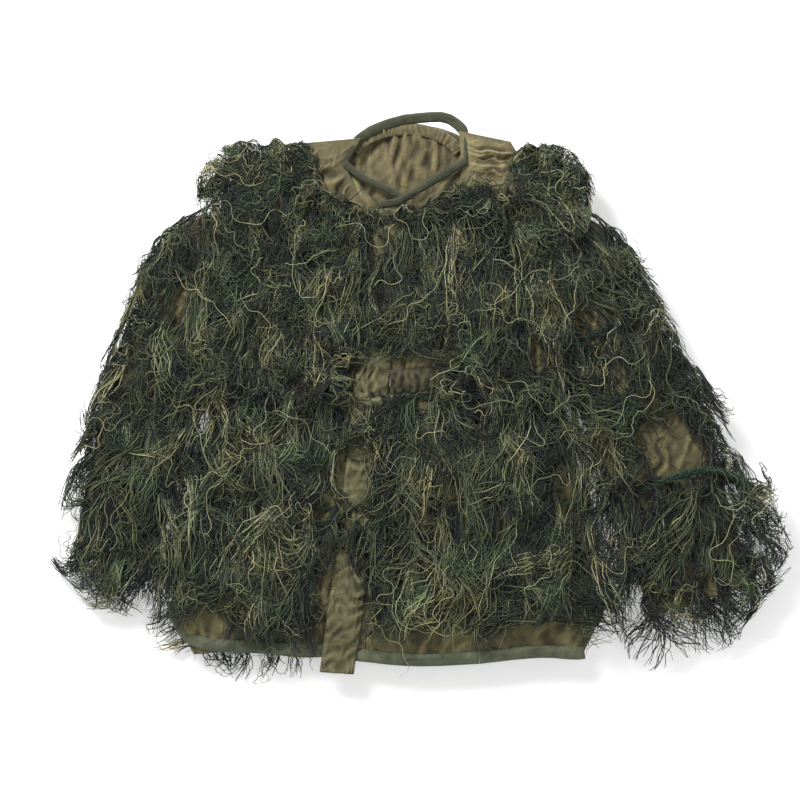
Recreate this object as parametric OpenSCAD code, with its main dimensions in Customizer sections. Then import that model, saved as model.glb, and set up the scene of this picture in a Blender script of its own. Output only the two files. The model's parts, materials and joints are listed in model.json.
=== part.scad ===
// Ghillie jacket, laid flat on its back with the front opening up.
// +X is to the right as it is laid, +Y runs towards the collar and +Z is up from the floor.
// "Left" and "right" are the sides as seen from above, with the collar at the top.

/* [Torso] */
// Length from the hem to the top of the back neck
body_len = 745; // [620:1:900]
// Width of the hem
hem_w = 610; // [500:1:740]
// Width at the waist casing
waist_w = 480; // [400:1:580]
// Width from shoulder tip to shoulder tip
shoulder_w = 430; // [380:1:520]
// Distance of the shoulder tips below the back neck
shoulder_drop = 50; // [30:1:80]
// Distance of the waist casing below the back neck
waist_drop = 364; // [330:1:420]
// Height by which the left hem corner is drawn up
hem_lift = 65; // [0:1:90]
// Width of the elastic casing at the waist
casing_w = 40; // [30:1:50]
// Width of the waist elastic
waist_elastic_w = 30; // [20:1:30]

/* [Neck] */
// Width of the neck opening
neck_w = 168; // [140:1:190]
// Sideways place of the neck on the torso
neck_shift = 22; // [0:1:30]
// Height of the back neck curve above the neck points
neck_rise = 66; // [45:1:80]
// Depth of the front neck below the neck points
neck_dip = 60; // [45:1:80]
// Width of the bias binding at the neck and hem
binding_w = 14; // [10:1:20]
// Depth of the gathered casing inside the back neck
facing_d = 46; // [35:1:60]

/* [Front opening] */
// Width of the placket
placket_w = 48; // [36:1:60]
// Sideways lean of the placket from neck to hem
placket_lean = 75; // [0:1:90]
// Length of the placket below the hem
placket_drop = 26; // [0:1:35]
// Place of the fold line that the front flap turns on
fold_x = 126; // [120:1:150]
// Number of snap fasteners
snap_n = 4; // [2:1:6]
// Distance between snaps
snap_pitch = 138; // [60:1:150]
// Radius of a snap cap
snap_r = 6.5; // [5:0.1:8]
// Height of a closed snap between the two plackets
lap_gap = 4; // [3.5:0.1:5]
// Play of the snap stud in its socket
snap_play = 0.45; // [0.35:0.05:0.8]

/* [Sleeves] */
// Radius of the sleeve head
head_r = 86; // [70:1:100]
// Distance of the sleeve heads' centres below the back neck
head_drop = 203; // [190:1:230]
// Distance between the sleeve heads' centres
head_span = 500; // [480:1:560]
// Length of the upper sleeve, from head to elbow
upper_len = 222; // [200:1:260]
// Length of the left forearm as it is laid
left_fore_len = 215; // [180:1:280]
// Length of the right forearm as it is laid
right_fore_len = 285; // [240:1:320]
// Half width of the left sleeve at the elbow
left_elbow_r = 64; // [55:1:72]
// Half width of the right sleeve at the elbow
right_elbow_r = 80; // [60:1:84]
// Half width of the left cuff
left_cuff_r = 54; // [45:1:62]
// Half width of the right cuff
right_cuff_r = 72; // [50:1:80]
// Direction of the left upper sleeve
left_upper_dir = 247; // [235:1:252]
// Direction of the left forearm
left_fore_dir = 257; // [247:1:262]
// Direction of the right upper sleeve
right_upper_dir = 297; // [290:1:310]
// Direction of the right forearm
right_fore_dir = 288; // [282:1:295]
// Width of the cuff casing
cuff_w = 26; // [18:1:34]
// Width of the cuff elastic
cuff_elastic_w = 18; // [10:1:18]
// Bend that the elbow gap leaves room for
elbow_room = 42; // [30:1:50]

/* [Layers] */
// Thickness of the shell cloth
cloth_t = 1.6; // [1:0.1:2.5]
// Space kept open between the front and the back
air_gap = 12; // [8:1:20]
// Thickness of the yarn fringe under the back
back_fringe_t = 20; // [12:1:30]
// Height of the yarn fringe on the front
front_fringe_t = 30; // [20:1:40]
// Height of the knotted header of each fringe row
header_t = 8; // [5:1:12]
// Width of the knotted header of each fringe row
header_w = 12; // [8:1:16]
// Width by which the sleeve fringe stands past the cloth
fringe_over = 14; // [8:1:18]
// Length of the cuff fringe past the cuff
cuff_fringe_drop = 62; // [30:1:80]
// Extra half width of the fringe at the cuff
cuff_fringe_flare = 26; // [10:1:34]
// Clear space between neighbouring pieces that move
gap = 2; // [1:0.1:3]

/* [Fringe rows] */
// Distance of the chest row's header below the back neck
chest_row_drop = 128; // [115:1:150]
// Length of the yarn in the waist row
waist_row_len = 150; // [120:1:180]
// Distance from the back neck to the top of the shoulder tufts
tuft_drop = 22; // [10:1:40]

/* [Hidden] */

$fn = 64;
cloth_colour = [0.53, 0.48, 0.33];
binding_colour = [0.26, 0.28, 0.19];
yarn_colour = [0.16, 0.22, 0.15];
knot_colour = [0.11, 0.19, 0.16];
metal_colour = [0.06, 0.06, 0.06];
elastic_colour = [0.85, 0.84, 0.8];

// Levels up from the floor
z_back = back_fringe_t;
z_back_top = z_back + cloth_t;
z_front = z_back_top + air_gap;
z_front_top = z_front + cloth_t;
z_flap = z_front_top + lap_gap - cloth_t;
z_flap_top = z_flap + cloth_t;
z_fringe_top = z_flap_top + front_fringe_t;

// Places along the torso, up from the hem
shoulder_y = body_len - shoulder_drop;
neck_y = body_len - neck_rise;
neck_front_y = neck_y - neck_dip;
waist_y = body_len - waist_drop;
head_y = body_len - head_drop;
chest_row_y = body_len - chest_row_drop;
waist_row_y = waist_y - casing_w / 2;
skirt_row_y = waist_row_y - waist_row_len;
tuft_y = body_len - tuft_drop;

// The placket edge leans from under the chin to the left of the hem
placket_step = 16;
placket_top_x = neck_shift - placket_w / 2 - placket_step;
function placket_x(y) = placket_top_x - placket_lean * (neck_front_y - y) / neck_front_y;

// Half width of the torso at a height
function side_x(y) = lookup(y, [
    [0, hem_w / 2], [waist_y, waist_w / 2], [head_y, waist_w / 2], [shoulder_y, shoulder_w / 2]
]);

// Outline of the torso without its neck, drawn in from the edge by d
function torso_points(d) = [
    [-side_x(0) + d, hem_lift + d],
    [-side_x(0) + hem_lift / 2 + d, d],
    [side_x(0) - d, d],
    [side_x(waist_y) - d, waist_y],
    [side_x(head_y) - d, head_y],
    [side_x(shoulder_y) - d, shoulder_y - d],
    [neck_shift + neck_w / 2, neck_y + neck_rise / 2 - d],
    [neck_shift - neck_w / 2, neck_y + neck_rise / 2 - d],
    [-side_x(shoulder_y) + d, shoulder_y - d],
    [-side_x(head_y) + d, head_y],
    [-side_x(waist_y) + d, waist_y]
];

// Half ellipse over the neck points, with its radii grown by d
function neck_arc(d) = [for (a = [0:12:180])
    [neck_shift + (neck_w / 2 + d) * cos(a), neck_y + (neck_rise + d) * sin(a)]];

// Sleeves: one row of values for each side
function is_left(side) = side == "left";
function head_at(side) = [(is_left(side) ? -1 : 1) * head_span / 2, head_y];
function upper_dir(side) = is_left(side) ? left_upper_dir : right_upper_dir;
function fore_dir(side) = is_left(side) ? left_fore_dir : right_fore_dir;
function fore_len(side) = is_left(side) ? left_fore_len : right_fore_len;
function elbow_r(side) = is_left(side) ? left_elbow_r : right_elbow_r;
function cuff_r(side) = is_left(side) ? left_cuff_r : right_cuff_r;
function elbow_at(side) = head_at(side) + upper_len * [cos(upper_dir(side)), sin(upper_dir(side))];
function fore_point(side, u, v) = elbow_at(side)
    + u * [cos(fore_dir(side)), sin(fore_dir(side))]
    + v * [-sin(fore_dir(side)), cos(fore_dir(side))];

// Place of the torso in the row's frame, so that the whole jacket is centred on the origin
function fringe_tip(side, v) = fore_point(side, fore_len(side) + cuff_fringe_drop,
    v * (cuff_r(side) + cuff_fringe_flare));
x_low = fringe_tip("left", -1)[0];
x_high = fringe_tip("right", 1)[0];
y_low = min(fringe_tip("right", 1)[1], fringe_tip("right", -1)[1], -placket_drop);
y_high = body_len + binding_w;
origin_shift = [-(x_low + x_high) / 2, -(y_low + y_high) / 2];

// Sizes of the snap's inner pieces
stud_r = 2.6;
stud_base_r = 4.6;
snap_disc_t = 0.8;
post_r = 1.4;
cap_dome_t = 1.6;
snap_top_in = 25;

rivet_step = 0.5;
socket_lift = 0.3;
cap_bevel = 1.5;
socket_inset = 0.8;

// Larger than anything in the jacket, and the slack between a piece and the tunnel round it
big = 3 * body_len;
slack = 0.4;

// Widths of the seam allowances where a top cloth is turned down onto the cloth under it
seam_w = 6;
sleeve_seam = 5;
seam_bottom = 12;

// Widths by which the left front and the flap reach under and over the placket
left_tuck = 6;
flap_tuck = 5;

// Distances of the yokes, the back's hem tape and the back's fringe from the edge of the cloth
yoke_inset = 8;
back_tape_inset = 7;
back_fringe_inset = 4;

// Distance of the shoulder tufts from the neck, and their reach past the sleeve heads' centres
tuft_inset = 34;
tuft_reach = 8;

// Shares of a sleeve's radius at which its sides leave the round head and reach their full width
head_leave = 0.8;
upper_full = 0.5;
fore_full = 0.6;

// Wall under an elastic's tunnel, height of the tunnel past two cloths, and the elastic's own height in it
tunnel_wall = 0.6;
tunnel_room = 1.6;
elastic_lift = 1;

// Shares of the upper sleeve at which its two knotted headers lie
knot_places = [0.1, 0.45];

// Lifts a flat outline to height z with thickness t, and moves it to its place
module layer(z, t) {
    translate([origin_shift[0], origin_shift[1], z]) linear_extrude(t) children();
}

// Outline of one upper sleeve, widened by w, with a round head and a hollowed elbow end
module upper_2d(side, w) {
    r = head_r + w;
    e = elbow_r(side) + w;
    translate(head_at(side)) rotate(upper_dir(side)) difference() {
        union() {
            circle(r = head_r);
            polygon([[0, -head_leave * head_r], [upper_full * head_r, -r], [upper_len, -e],
                [upper_len, e], [upper_full * head_r, r], [0, head_leave * head_r]]);
        }
        translate([upper_len, 0]) circle(r = elbow_r(side) + gap);
        translate([upper_len - elbow_r(side) * sin(elbow_room), -big / 2]) square([big, big]);
    }
}

// Outline of one forearm, widened by w and running past the cuff by drop
module fore_2d(side, w, flare, drop) {
    e = elbow_r(side);
    c = cuff_r(side) + flare;
    l = fore_len(side) + drop;
    translate(elbow_at(side)) rotate(fore_dir(side)) union() {
        circle(r = e);
        polygon([[0, -head_leave * e], [fore_full * e, -e - w], [l, -c],
            [l, c], [fore_full * e, e + w], [0, head_leave * e]]);
    }
}

// Room that the torso leaves for one sleeve, grown by d
module sleeve_room_2d(side, d = 0) {
    room = gap + d;
    head = head_r + fringe_over + room;
    elbow = elbow_r(side) + fringe_over + room;
    cuff = cuff_r(side) + cuff_fringe_flare + room;
    tip = fore_len(side) + cuff_fringe_drop + room;
    translate(head_at(side)) {
        circle(r = head_r + room);
        rotate(upper_dir(side)) polygon([
            [0, -head_leave * head_r - room], [upper_full * head_r, -head], [upper_len, -elbow],
            [upper_len, elbow], [upper_full * head_r, head], [0, head_leave * head_r + room]
        ]);
    }
    translate(elbow_at(side)) rotate(fore_dir(side))
        polygon([[0, -elbow], [tip, -cuff], [tip, cuff], [0, elbow]]);
}

// Torso outline with both sleeves taken out, drawn in from the edge by d
module torso_2d(d = 0) {
    difference() {
        polygon(torso_points(d));
        sleeve_room_2d("left", d);
        sleeve_room_2d("right", d);
    }
}

// Front neck hole, grown by d
module neck_hole_2d(d = 0) {
    polygon([
        [neck_shift - neck_w / 2 - d, neck_y],
        [placket_x(neck_front_y), neck_front_y - d],
        [placket_x(neck_front_y) + placket_w, neck_front_y - d],
        [neck_shift + neck_w / 2 + d, neck_y],
        [neck_shift + neck_w / 2 + d, body_len + big / 4],
        [neck_shift - neck_w / 2 - d, body_len + big / 4]
    ]);
}

// Everything left of the placket edge, moved right by d
module left_of_placket_2d(d) {
    polygon([
        [-big, -big / 2], [placket_x(-big / 2) + d, -big / 2],
        [placket_x(big / 2) + d, big / 2], [-big, big / 2]
    ]);
}

// Everything right of the fold line
module right_of_fold_2d() {
    translate([fold_x + gap / 4, -big / 2]) square([big, big]);
}

// The flap: from the placket edge, moved right by d, to the fold line
module flap_2d(d) {
    difference() {
        translate([-big / 2, -big / 2]) square([big / 2 + fold_x - gap / 4, big]);
        left_of_placket_2d(d);
    }
}

// A level band across the torso from y0 up to y1
module band_2d(y0, y1) {
    translate([-big / 2, y0]) square([big, y1 - y0]);
}

// One part of the front torso cloth
module front_cloth_2d(part) {
    intersection() {
        difference() {
            torso_2d();
            neck_hole_2d();
        }
        if (part == "left") left_of_placket_2d(placket_w - left_tuck);
        if (part == "flap") flap_2d(placket_w - flap_tuck);
        if (part == "right") right_of_fold_2d();
    }
}

// One part of the front between two heights, for a fringe row or a casing
module front_row_2d(part, y0, y1) {
    intersection() {
        difference() {
            torso_2d();
            neck_hole_2d(binding_w + gap);
        }
        band_2d(y0, y1);
        if (part == "left") left_of_placket_2d(-gap);
        if (part == "flap") flap_2d(placket_w + gap);
        if (part == "right") right_of_fold_2d();
    }
}

// Side and shoulder seam allowance, where the front meets the back
module seam_2d(part) {
    intersection() {
        difference() {
            torso_2d();
            torso_2d(seam_w);
            neck_hole_2d();
            band_2d(-big / 2, seam_bottom);
            translate(head_at("left")) circle(r = head_r + gap + seam_w + 1);
            translate(head_at("right")) circle(r = head_r + gap + seam_w + 1);
        }
        if (part == "left") left_of_placket_2d(-gap);
        if (part == "right") right_of_fold_2d();
    }
}

function front_z(part) = part == "left" ? z_front : z_flap;
function front_top(part) = front_z(part) + cloth_t;

// A fringe row on the front: a block of yarn from just below its header
module fringe_row(part, y0, y1) {
    color(yarn_colour) layer(front_top(part), z_fringe_top - front_top(part))
        front_row_2d(part, y0, y1 - header_w);
}

// The knotted header along the top of a fringe row
module header_row(part, y1) {
    color(knot_colour) layer(front_top(part), header_t) front_row_2d(part, y1 - header_w + slack, y1);
}

module header_rows(part) {
    header_row(part, chest_row_y);
    header_row(part, waist_row_y);
    header_row(part, skirt_row_y);
}

// Tuft of yarn on one shoulder, between the chest row and the shoulder tip
module tuft_2d(part) {
    side = part == "left" ? -1 : 1;
    inner = neck_shift + side * (neck_w / 2 + tuft_inset);
    intersection() {
        difference() {
            translate([min(inner, inner + side * shoulder_w), chest_row_y + 1])
                square([shoulder_w, tuft_y - chest_row_y - 1]);
            sleeve_room_2d(part);
            neck_hole_2d(binding_w + gap);
        }
        translate([-head_span / 2 - tuft_reach, 0]) square([head_span + 2 * tuft_reach, big]);
        if (part == "right") right_of_fold_2d();
    }
}

module tuft(part) {
    bottom = front_top(part) + cloth_t + slack;
    color(yarn_colour) layer(bottom, z_fringe_top - bottom) tuft_2d(part);
}

// Front cloth, with its seam turned down onto the back
module front_panel(part) {
    color(cloth_colour) {
        layer(front_z(part), cloth_t) front_cloth_2d(part);
        layer(z_back_top, front_z(part) - z_back_top) seam_2d(part);
    }
}

module back_panel() {
    color(cloth_colour) layer(z_back, cloth_t) difference() {
        union() {
            torso_2d();
            polygon(neck_arc(0));
        }
        band_2d(-big / 2, 0);
    }
}

module back_neck_facing() {
    color(cloth_colour) layer(z_back_top, cloth_t) difference() {
        polygon(neck_arc(-gap));
        band_2d(-big / 2, neck_y + neck_rise - facing_d - gap);
    }
}

module left_front_panel() {
    difference() {
        front_panel("left");
        snap_holes(z_back, z_fringe_top);
    }
}

module right_front_panel() {
    front_panel("right");
}

module flap_panel() {
    color(cloth_colour) layer(z_flap, cloth_t) front_cloth_2d("flap");
}

// Strip along the placket edge, from the neck to the end of the opening
module placket_strip_2d(d0, d1, drop) {
    intersection() {
        difference() {
            left_of_placket_2d(d1);
            left_of_placket_2d(d0);
        }
        difference() {
            band_2d(-drop, neck_front_y + neck_dip);
            neck_hole_2d();
        }
    }
}

module under_placket() {
    color(cloth_colour) difference() {
        layer(z_front - cloth_t, cloth_t) placket_strip_2d(4, placket_w - 8, 0);
        snap_holes(z_back, z_fringe_top);
    }
}

module over_placket() {
    color(cloth_colour) difference() {
        layer(z_flap_top, cloth_t) placket_strip_2d(0, placket_w, placket_drop);
        snap_holes(z_flap, z_fringe_top);
    }
}

// Bare yoke between the neck and the shoulder fringe
module yoke_2d(part) {
    side = part == "left" ? -1 : 1;
    intersection() {
        difference() {
            torso_2d(yoke_inset);
            neck_hole_2d(binding_w + gap);
            band_2d(-big / 2, chest_row_y + gap);
        }
        translate([part == "left" ? neck_shift - neck_w : neck_shift, 0]) square([neck_w, big]);
        if (side > 0) right_of_fold_2d();
    }
}

module left_shoulder_yoke() {
    color(cloth_colour) layer(z_front_top, cloth_t) yoke_2d("left");
}

module right_shoulder_yoke() {
    color(cloth_colour) layer(z_flap_top, cloth_t) yoke_2d("right");
}

module back_neck_binding() {
    color(binding_colour) layer(z_back, binding_w / 2 + cloth_t) difference() {
        polygon(neck_arc(binding_w));
        polygon(neck_arc(0));
        band_2d(-big / 2, neck_y + neck_rise / 2 + gap);
    }
}

// One leg of the front neck binding
module neck_leg_2d(part) {
    intersection() {
        difference() {
            neck_hole_2d(binding_w);
            neck_hole_2d();
            band_2d(neck_y + 0.4 * neck_rise, big);
        }
        if (part == "left") left_of_placket_2d(-1);
        if (part == "flap") flap_2d(0);
    }
}

module left_neck_binding() {
    color(binding_colour) layer(z_front_top, cloth_t) difference() {
        neck_leg_2d("left");
        yoke_2d("left");
    }
}

module flap_neck_binding() {
    color(binding_colour) layer(z_flap_top + cloth_t, cloth_t) neck_leg_2d("flap");
}

// Outline of the hem tape on one part of the front
module hem_band_2d(part) {
    intersection() {
        difference() {
            torso_2d();
            torso_2d(binding_w);
            seam_2d(part);
            band_2d(max(hem_lift, binding_w) + binding_w, big);
        }
        if (part == "left") left_of_placket_2d(-gap);
        if (part == "flap") flap_2d(placket_w + 1);
        if (part == "right") right_of_fold_2d();
    }
}

// Hem tape of one part of the front, under the edge of its cloth
module hem_tape(part) {
    color(binding_colour) layer(front_z(part) - cloth_t, cloth_t) hem_band_2d(part);
}

module left_hem_binding() {
    hem_tape("left");
}

module right_hem_binding() {
    hem_tape("right");
}

module flap_hem_binding() {
    hem_tape("flap");
}

module back_hem_binding() {
    color(binding_colour) layer(z_back_top, cloth_t) difference() {
        intersection() {
            torso_2d(back_tape_inset);
            band_2d(0, hem_lift / 2 + binding_w);
        }
        torso_2d(back_tape_inset + binding_w);
        band_2d(hem_lift / 2 + binding_w, big);
        translate([-hem_w, 0]) square([hem_w / 2 + hem_lift / 2 + binding_w, big]);
    }
}

// Waist casing: a flat tunnel of cloth on the front panel
module casing(part) {
    top = front_top(part);
    color(cloth_colour) difference() {
        layer(top, 2 * cloth_t + tunnel_room)
            front_row_2d(part, waist_y - casing_w / 2 + slack, waist_y + casing_w / 2);
        layer(top + tunnel_wall, 2 * cloth_t + slack)
            band_2d(waist_y - waist_elastic_w / 2 - slack, waist_y + waist_elastic_w / 2 + slack);
    }
}

// Elastic in the waist casing
module elastic(part) {
    color(elastic_colour) layer(front_top(part) + elastic_lift, 2 * cloth_t - slack)
        front_row_2d(part, waist_y - waist_elastic_w / 2, waist_y + waist_elastic_w / 2);
}

module left_waist_casing() {
    casing("left");
}

module right_waist_casing() {
    casing("right");
}

module flap_waist_casing() {
    casing("flap");
}

module waist_elastic() {
    elastic("left");
    elastic("right");
}

module flap_elastic() {
    elastic("flap");
}

// Runs its children at each snap along the placket
module each_snap(z) {
    for (i = [0:snap_n - 1]) {
        y = neck_front_y - snap_top_in - i * snap_pitch;
        translate([origin_shift[0] + placket_x(y) + placket_w / 2, origin_shift[1] + y, z]) children();
    }
}

module snap_holes(z0, z1) {
    each_snap(z0) cylinder(r = post_r, h = z1 - z0);
}

// Height of the stud above the left front, and of the mouth that it sits in
stud_base_z = z_front_top;
stud_h = lap_gap - snap_disc_t - rivet_step;

module snap_studs() {
    color(metal_colour) each_snap(stud_base_z) difference() {
        union() {
            cylinder(r = stud_base_r, h = snap_disc_t);
            cylinder(r = stud_r, h = snap_disc_t + stud_h - rivet_step);
        }
        translate([0, 0, -1]) cylinder(r = post_r, h = lap_gap);
    }
}

module snap_posts() {
    color(metal_colour) each_snap(z_front - cloth_t - snap_disc_t) union() {
        cylinder(r = stud_base_r, h = snap_disc_t);
        cylinder(r = post_r, h = snap_disc_t + 2 * cloth_t + lap_gap - 2);
    }
}

module snap_sockets() {
    socket_h = lap_gap - snap_disc_t - socket_lift;
    color(metal_colour) each_snap(stud_base_z + snap_disc_t + socket_lift) difference() {
        cylinder(r = snap_r - socket_inset, h = socket_h);
        translate([0, 0, -1]) cylinder(r = stud_r + snap_play, h = socket_h);
    }
}

module snap_caps() {
    color(metal_colour) each_snap(z_flap_top) union() {
        cylinder(r = post_r, h = cloth_t);
        translate([0, 0, cloth_t]) cylinder(r1 = snap_r, r2 = snap_r - cap_bevel, h = cap_dome_t);
    }
}

module torso_knot_rows() {
    header_rows("left");
    header_rows("right");
}

module flap_knot_rows() {
    header_rows("flap");
}

module left_shoulder_fringe() {
    tuft("left");
}

module right_shoulder_fringe() {
    tuft("right");
}

module left_chest_fringe() {
    fringe_row("left", waist_y + casing_w / 2 + 1, chest_row_y);
}

module right_chest_fringe() {
    fringe_row("right", waist_y + casing_w / 2 + 1, chest_row_y);
}

module flap_chest_fringe() {
    fringe_row("flap", waist_y + casing_w / 2 + 1, chest_row_y);
}

module left_waist_fringe() {
    fringe_row("left", skirt_row_y + 1, waist_row_y);
}

module right_waist_fringe() {
    fringe_row("right", skirt_row_y + 1, waist_row_y);
}

module flap_waist_fringe() {
    fringe_row("flap", skirt_row_y + 1, waist_row_y);
}

module left_skirt_fringe() {
    fringe_row("left", 0, skirt_row_y);
}

module right_skirt_fringe() {
    fringe_row("right", 0, skirt_row_y);
}

module flap_skirt_fringe() {
    fringe_row("flap", 0, skirt_row_y);
}

// A fringe row under the back
module back_row(y0, y1) {
    color(yarn_colour) layer(0, z_back) intersection() {
        torso_2d(back_fringe_inset);
        band_2d(y0, y1);
    }
}

module back_chest_fringe() {
    back_row(waist_y + casing_w / 2 + 1, tuft_y);
}

module back_waist_fringe() {
    back_row(skirt_row_y + 1, waist_y + casing_w / 2);
}

module back_skirt_fringe() {
    back_row(back_fringe_inset, skirt_row_y);
}

// Top of one upper sleeve, with its two seams turned down to the underside
module upper_sleeve(side) {
    head_in = head_r - sleeve_seam;
    elbow_in = elbow_r(side) - sleeve_seam;
    color(cloth_colour) {
        layer(z_front, cloth_t) upper_2d(side, 0);
        layer(z_back_top, z_front - z_back_top) intersection() {
            difference() {
                upper_2d(side, 0);
                translate(head_at(side)) rotate(upper_dir(side)) polygon([
                    [-head_r, -head_in], [0, -head_in], [upper_len, -elbow_in],
                    [upper_len, elbow_in], [0, head_in], [-head_r, head_in]
                ]);
            }
            translate(head_at(side)) rotate(upper_dir(side)) translate([0, -big / 2]) square([big, big]);
        }
    }
}

module upper_underside(side) {
    color(cloth_colour) layer(z_back, cloth_t) upper_2d(side, 0);
}

// Yarn on the top and on the underside of one upper sleeve
module upper_fringe(side) {
    color(yarn_colour) {
        layer(z_front_top + header_t, z_fringe_top - z_front_top - header_t - 2) upper_2d(side, fringe_over);
        layer(0, z_back) upper_2d(side, fringe_over);
    }
}

// Knotted headers across one upper sleeve
module upper_knot_rows(side) {
    color(knot_colour) layer(z_front_top, header_t) intersection() {
        upper_2d(side, -2);
        translate(head_at(side)) rotate(upper_dir(side)) {
            for (place = knot_places) translate([place * upper_len, -big / 2]) square([header_w, big]);
        }
    }
}

// Top of one forearm, with its two seams turned down to the underside
module forearm_sleeve(side) {
    l = fore_len(side);
    e = elbow_r(side);
    c = cuff_r(side);
    color(cloth_colour) {
        layer(z_front, cloth_t) fore_2d(side, 0, 0, 0);
        layer(z_back_top, z_front - z_back_top) difference() {
            translate(elbow_at(side)) rotate(fore_dir(side))
                polygon([[0, -e], [l, -c], [l, c], [0, e]]);
            translate(elbow_at(side)) rotate(fore_dir(side))
                polygon([[-1, sleeve_seam - e], [l + 1, sleeve_seam - c],
                    [l + 1, c - sleeve_seam], [-1, e - sleeve_seam]]);
        }
    }
}

module forearm_underside(side) {
    color(cloth_colour) layer(z_back, cloth_t) fore_2d(side, 0, 0, 0);
}

// Band at the end of one sleeve, as a flat tunnel round the elastic
module cuff_band_2d(side, w, inset) {
    translate(elbow_at(side)) rotate(fore_dir(side))
        translate([fore_len(side) - cuff_w / 2 - w / 2, -cuff_r(side) + inset])
            square([w, 2 * cuff_r(side) - 2 * inset]);
}

module cuff_casing(side) {
    color(cloth_colour) difference() {
        layer(z_front_top, 2 * cloth_t + tunnel_room) cuff_band_2d(side, cuff_w, 0);
        layer(z_front_top + tunnel_wall, 2 * cloth_t + slack)
            cuff_band_2d(side, cuff_elastic_w + 2 * slack, -1);
    }
}

module cuff_elastic(side) {
    color(elastic_colour) layer(z_front_top + elastic_lift, 2 * cloth_t - slack)
        cuff_band_2d(side, cuff_elastic_w, 1);
}

// Yarn on one forearm: one block over the sleeve and its cuff casing, and one under them
module forearm_fringe(side) {
    over = z_front_top + 2 * cloth_t + 2;
    color(yarn_colour) {
        layer(over, z_fringe_top - over - 2)
            fore_2d(side, fringe_over, cuff_fringe_flare, cuff_fringe_drop);
        layer(0, z_back) fore_2d(side, fringe_over, cuff_fringe_flare, cuff_fringe_drop);
    }
}

module left_upper_sleeve() {
    upper_sleeve("left");
}

module left_upper_underside() {
    upper_underside("left");
}

module left_upper_fringe() {
    upper_fringe("left");
}

module left_upper_knot_rows() {
    upper_knot_rows("left");
}

module left_forearm_sleeve() {
    forearm_sleeve("left");
}

module left_forearm_underside() {
    forearm_underside("left");
}

module left_cuff_casing() {
    cuff_casing("left");
}

module left_cuff_elastic() {
    cuff_elastic("left");
}

module left_forearm_fringe() {
    forearm_fringe("left");
}

module right_upper_sleeve() {
    upper_sleeve("right");
}

module right_upper_underside() {
    upper_underside("right");
}

module right_upper_fringe() {
    upper_fringe("right");
}

module right_upper_knot_rows() {
    upper_knot_rows("right");
}

module right_forearm_sleeve() {
    forearm_sleeve("right");
}

module right_forearm_underside() {
    forearm_underside("right");
}

module right_cuff_casing() {
    cuff_casing("right");
}

module right_cuff_elastic() {
    cuff_elastic("right");
}

module right_forearm_fringe() {
    forearm_fringe("right");
}

back_panel();
back_neck_facing();
left_front_panel();
right_front_panel();
under_placket();
left_shoulder_yoke();
right_shoulder_yoke();
back_neck_binding();
left_neck_binding();
left_hem_binding();
right_hem_binding();
back_hem_binding();
left_waist_casing();
right_waist_casing();
waist_elastic();
snap_studs();
snap_posts();
torso_knot_rows();
left_shoulder_fringe();
right_shoulder_fringe();
left_chest_fringe();
right_chest_fringe();
left_waist_fringe();
right_waist_fringe();
left_skirt_fringe();
right_skirt_fringe();
back_chest_fringe();
back_waist_fringe();
back_skirt_fringe();
flap_panel();
over_placket();
flap_neck_binding();
flap_hem_binding();
flap_waist_casing();
flap_elastic();
snap_caps();
snap_sockets();
flap_knot_rows();
flap_chest_fringe();
flap_waist_fringe();
flap_skirt_fringe();
left_upper_sleeve();
left_upper_underside();
left_upper_fringe();
left_upper_knot_rows();
left_forearm_sleeve();
left_forearm_underside();
left_cuff_casing();
left_cuff_elastic();
left_forearm_fringe();
right_upper_sleeve();
right_upper_underside();
right_upper_fringe();
right_upper_knot_rows();
right_forearm_sleeve();
right_forearm_underside();
right_cuff_casing();
right_cuff_elastic();
right_forearm_fringe();
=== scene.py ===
import json
import math

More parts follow.
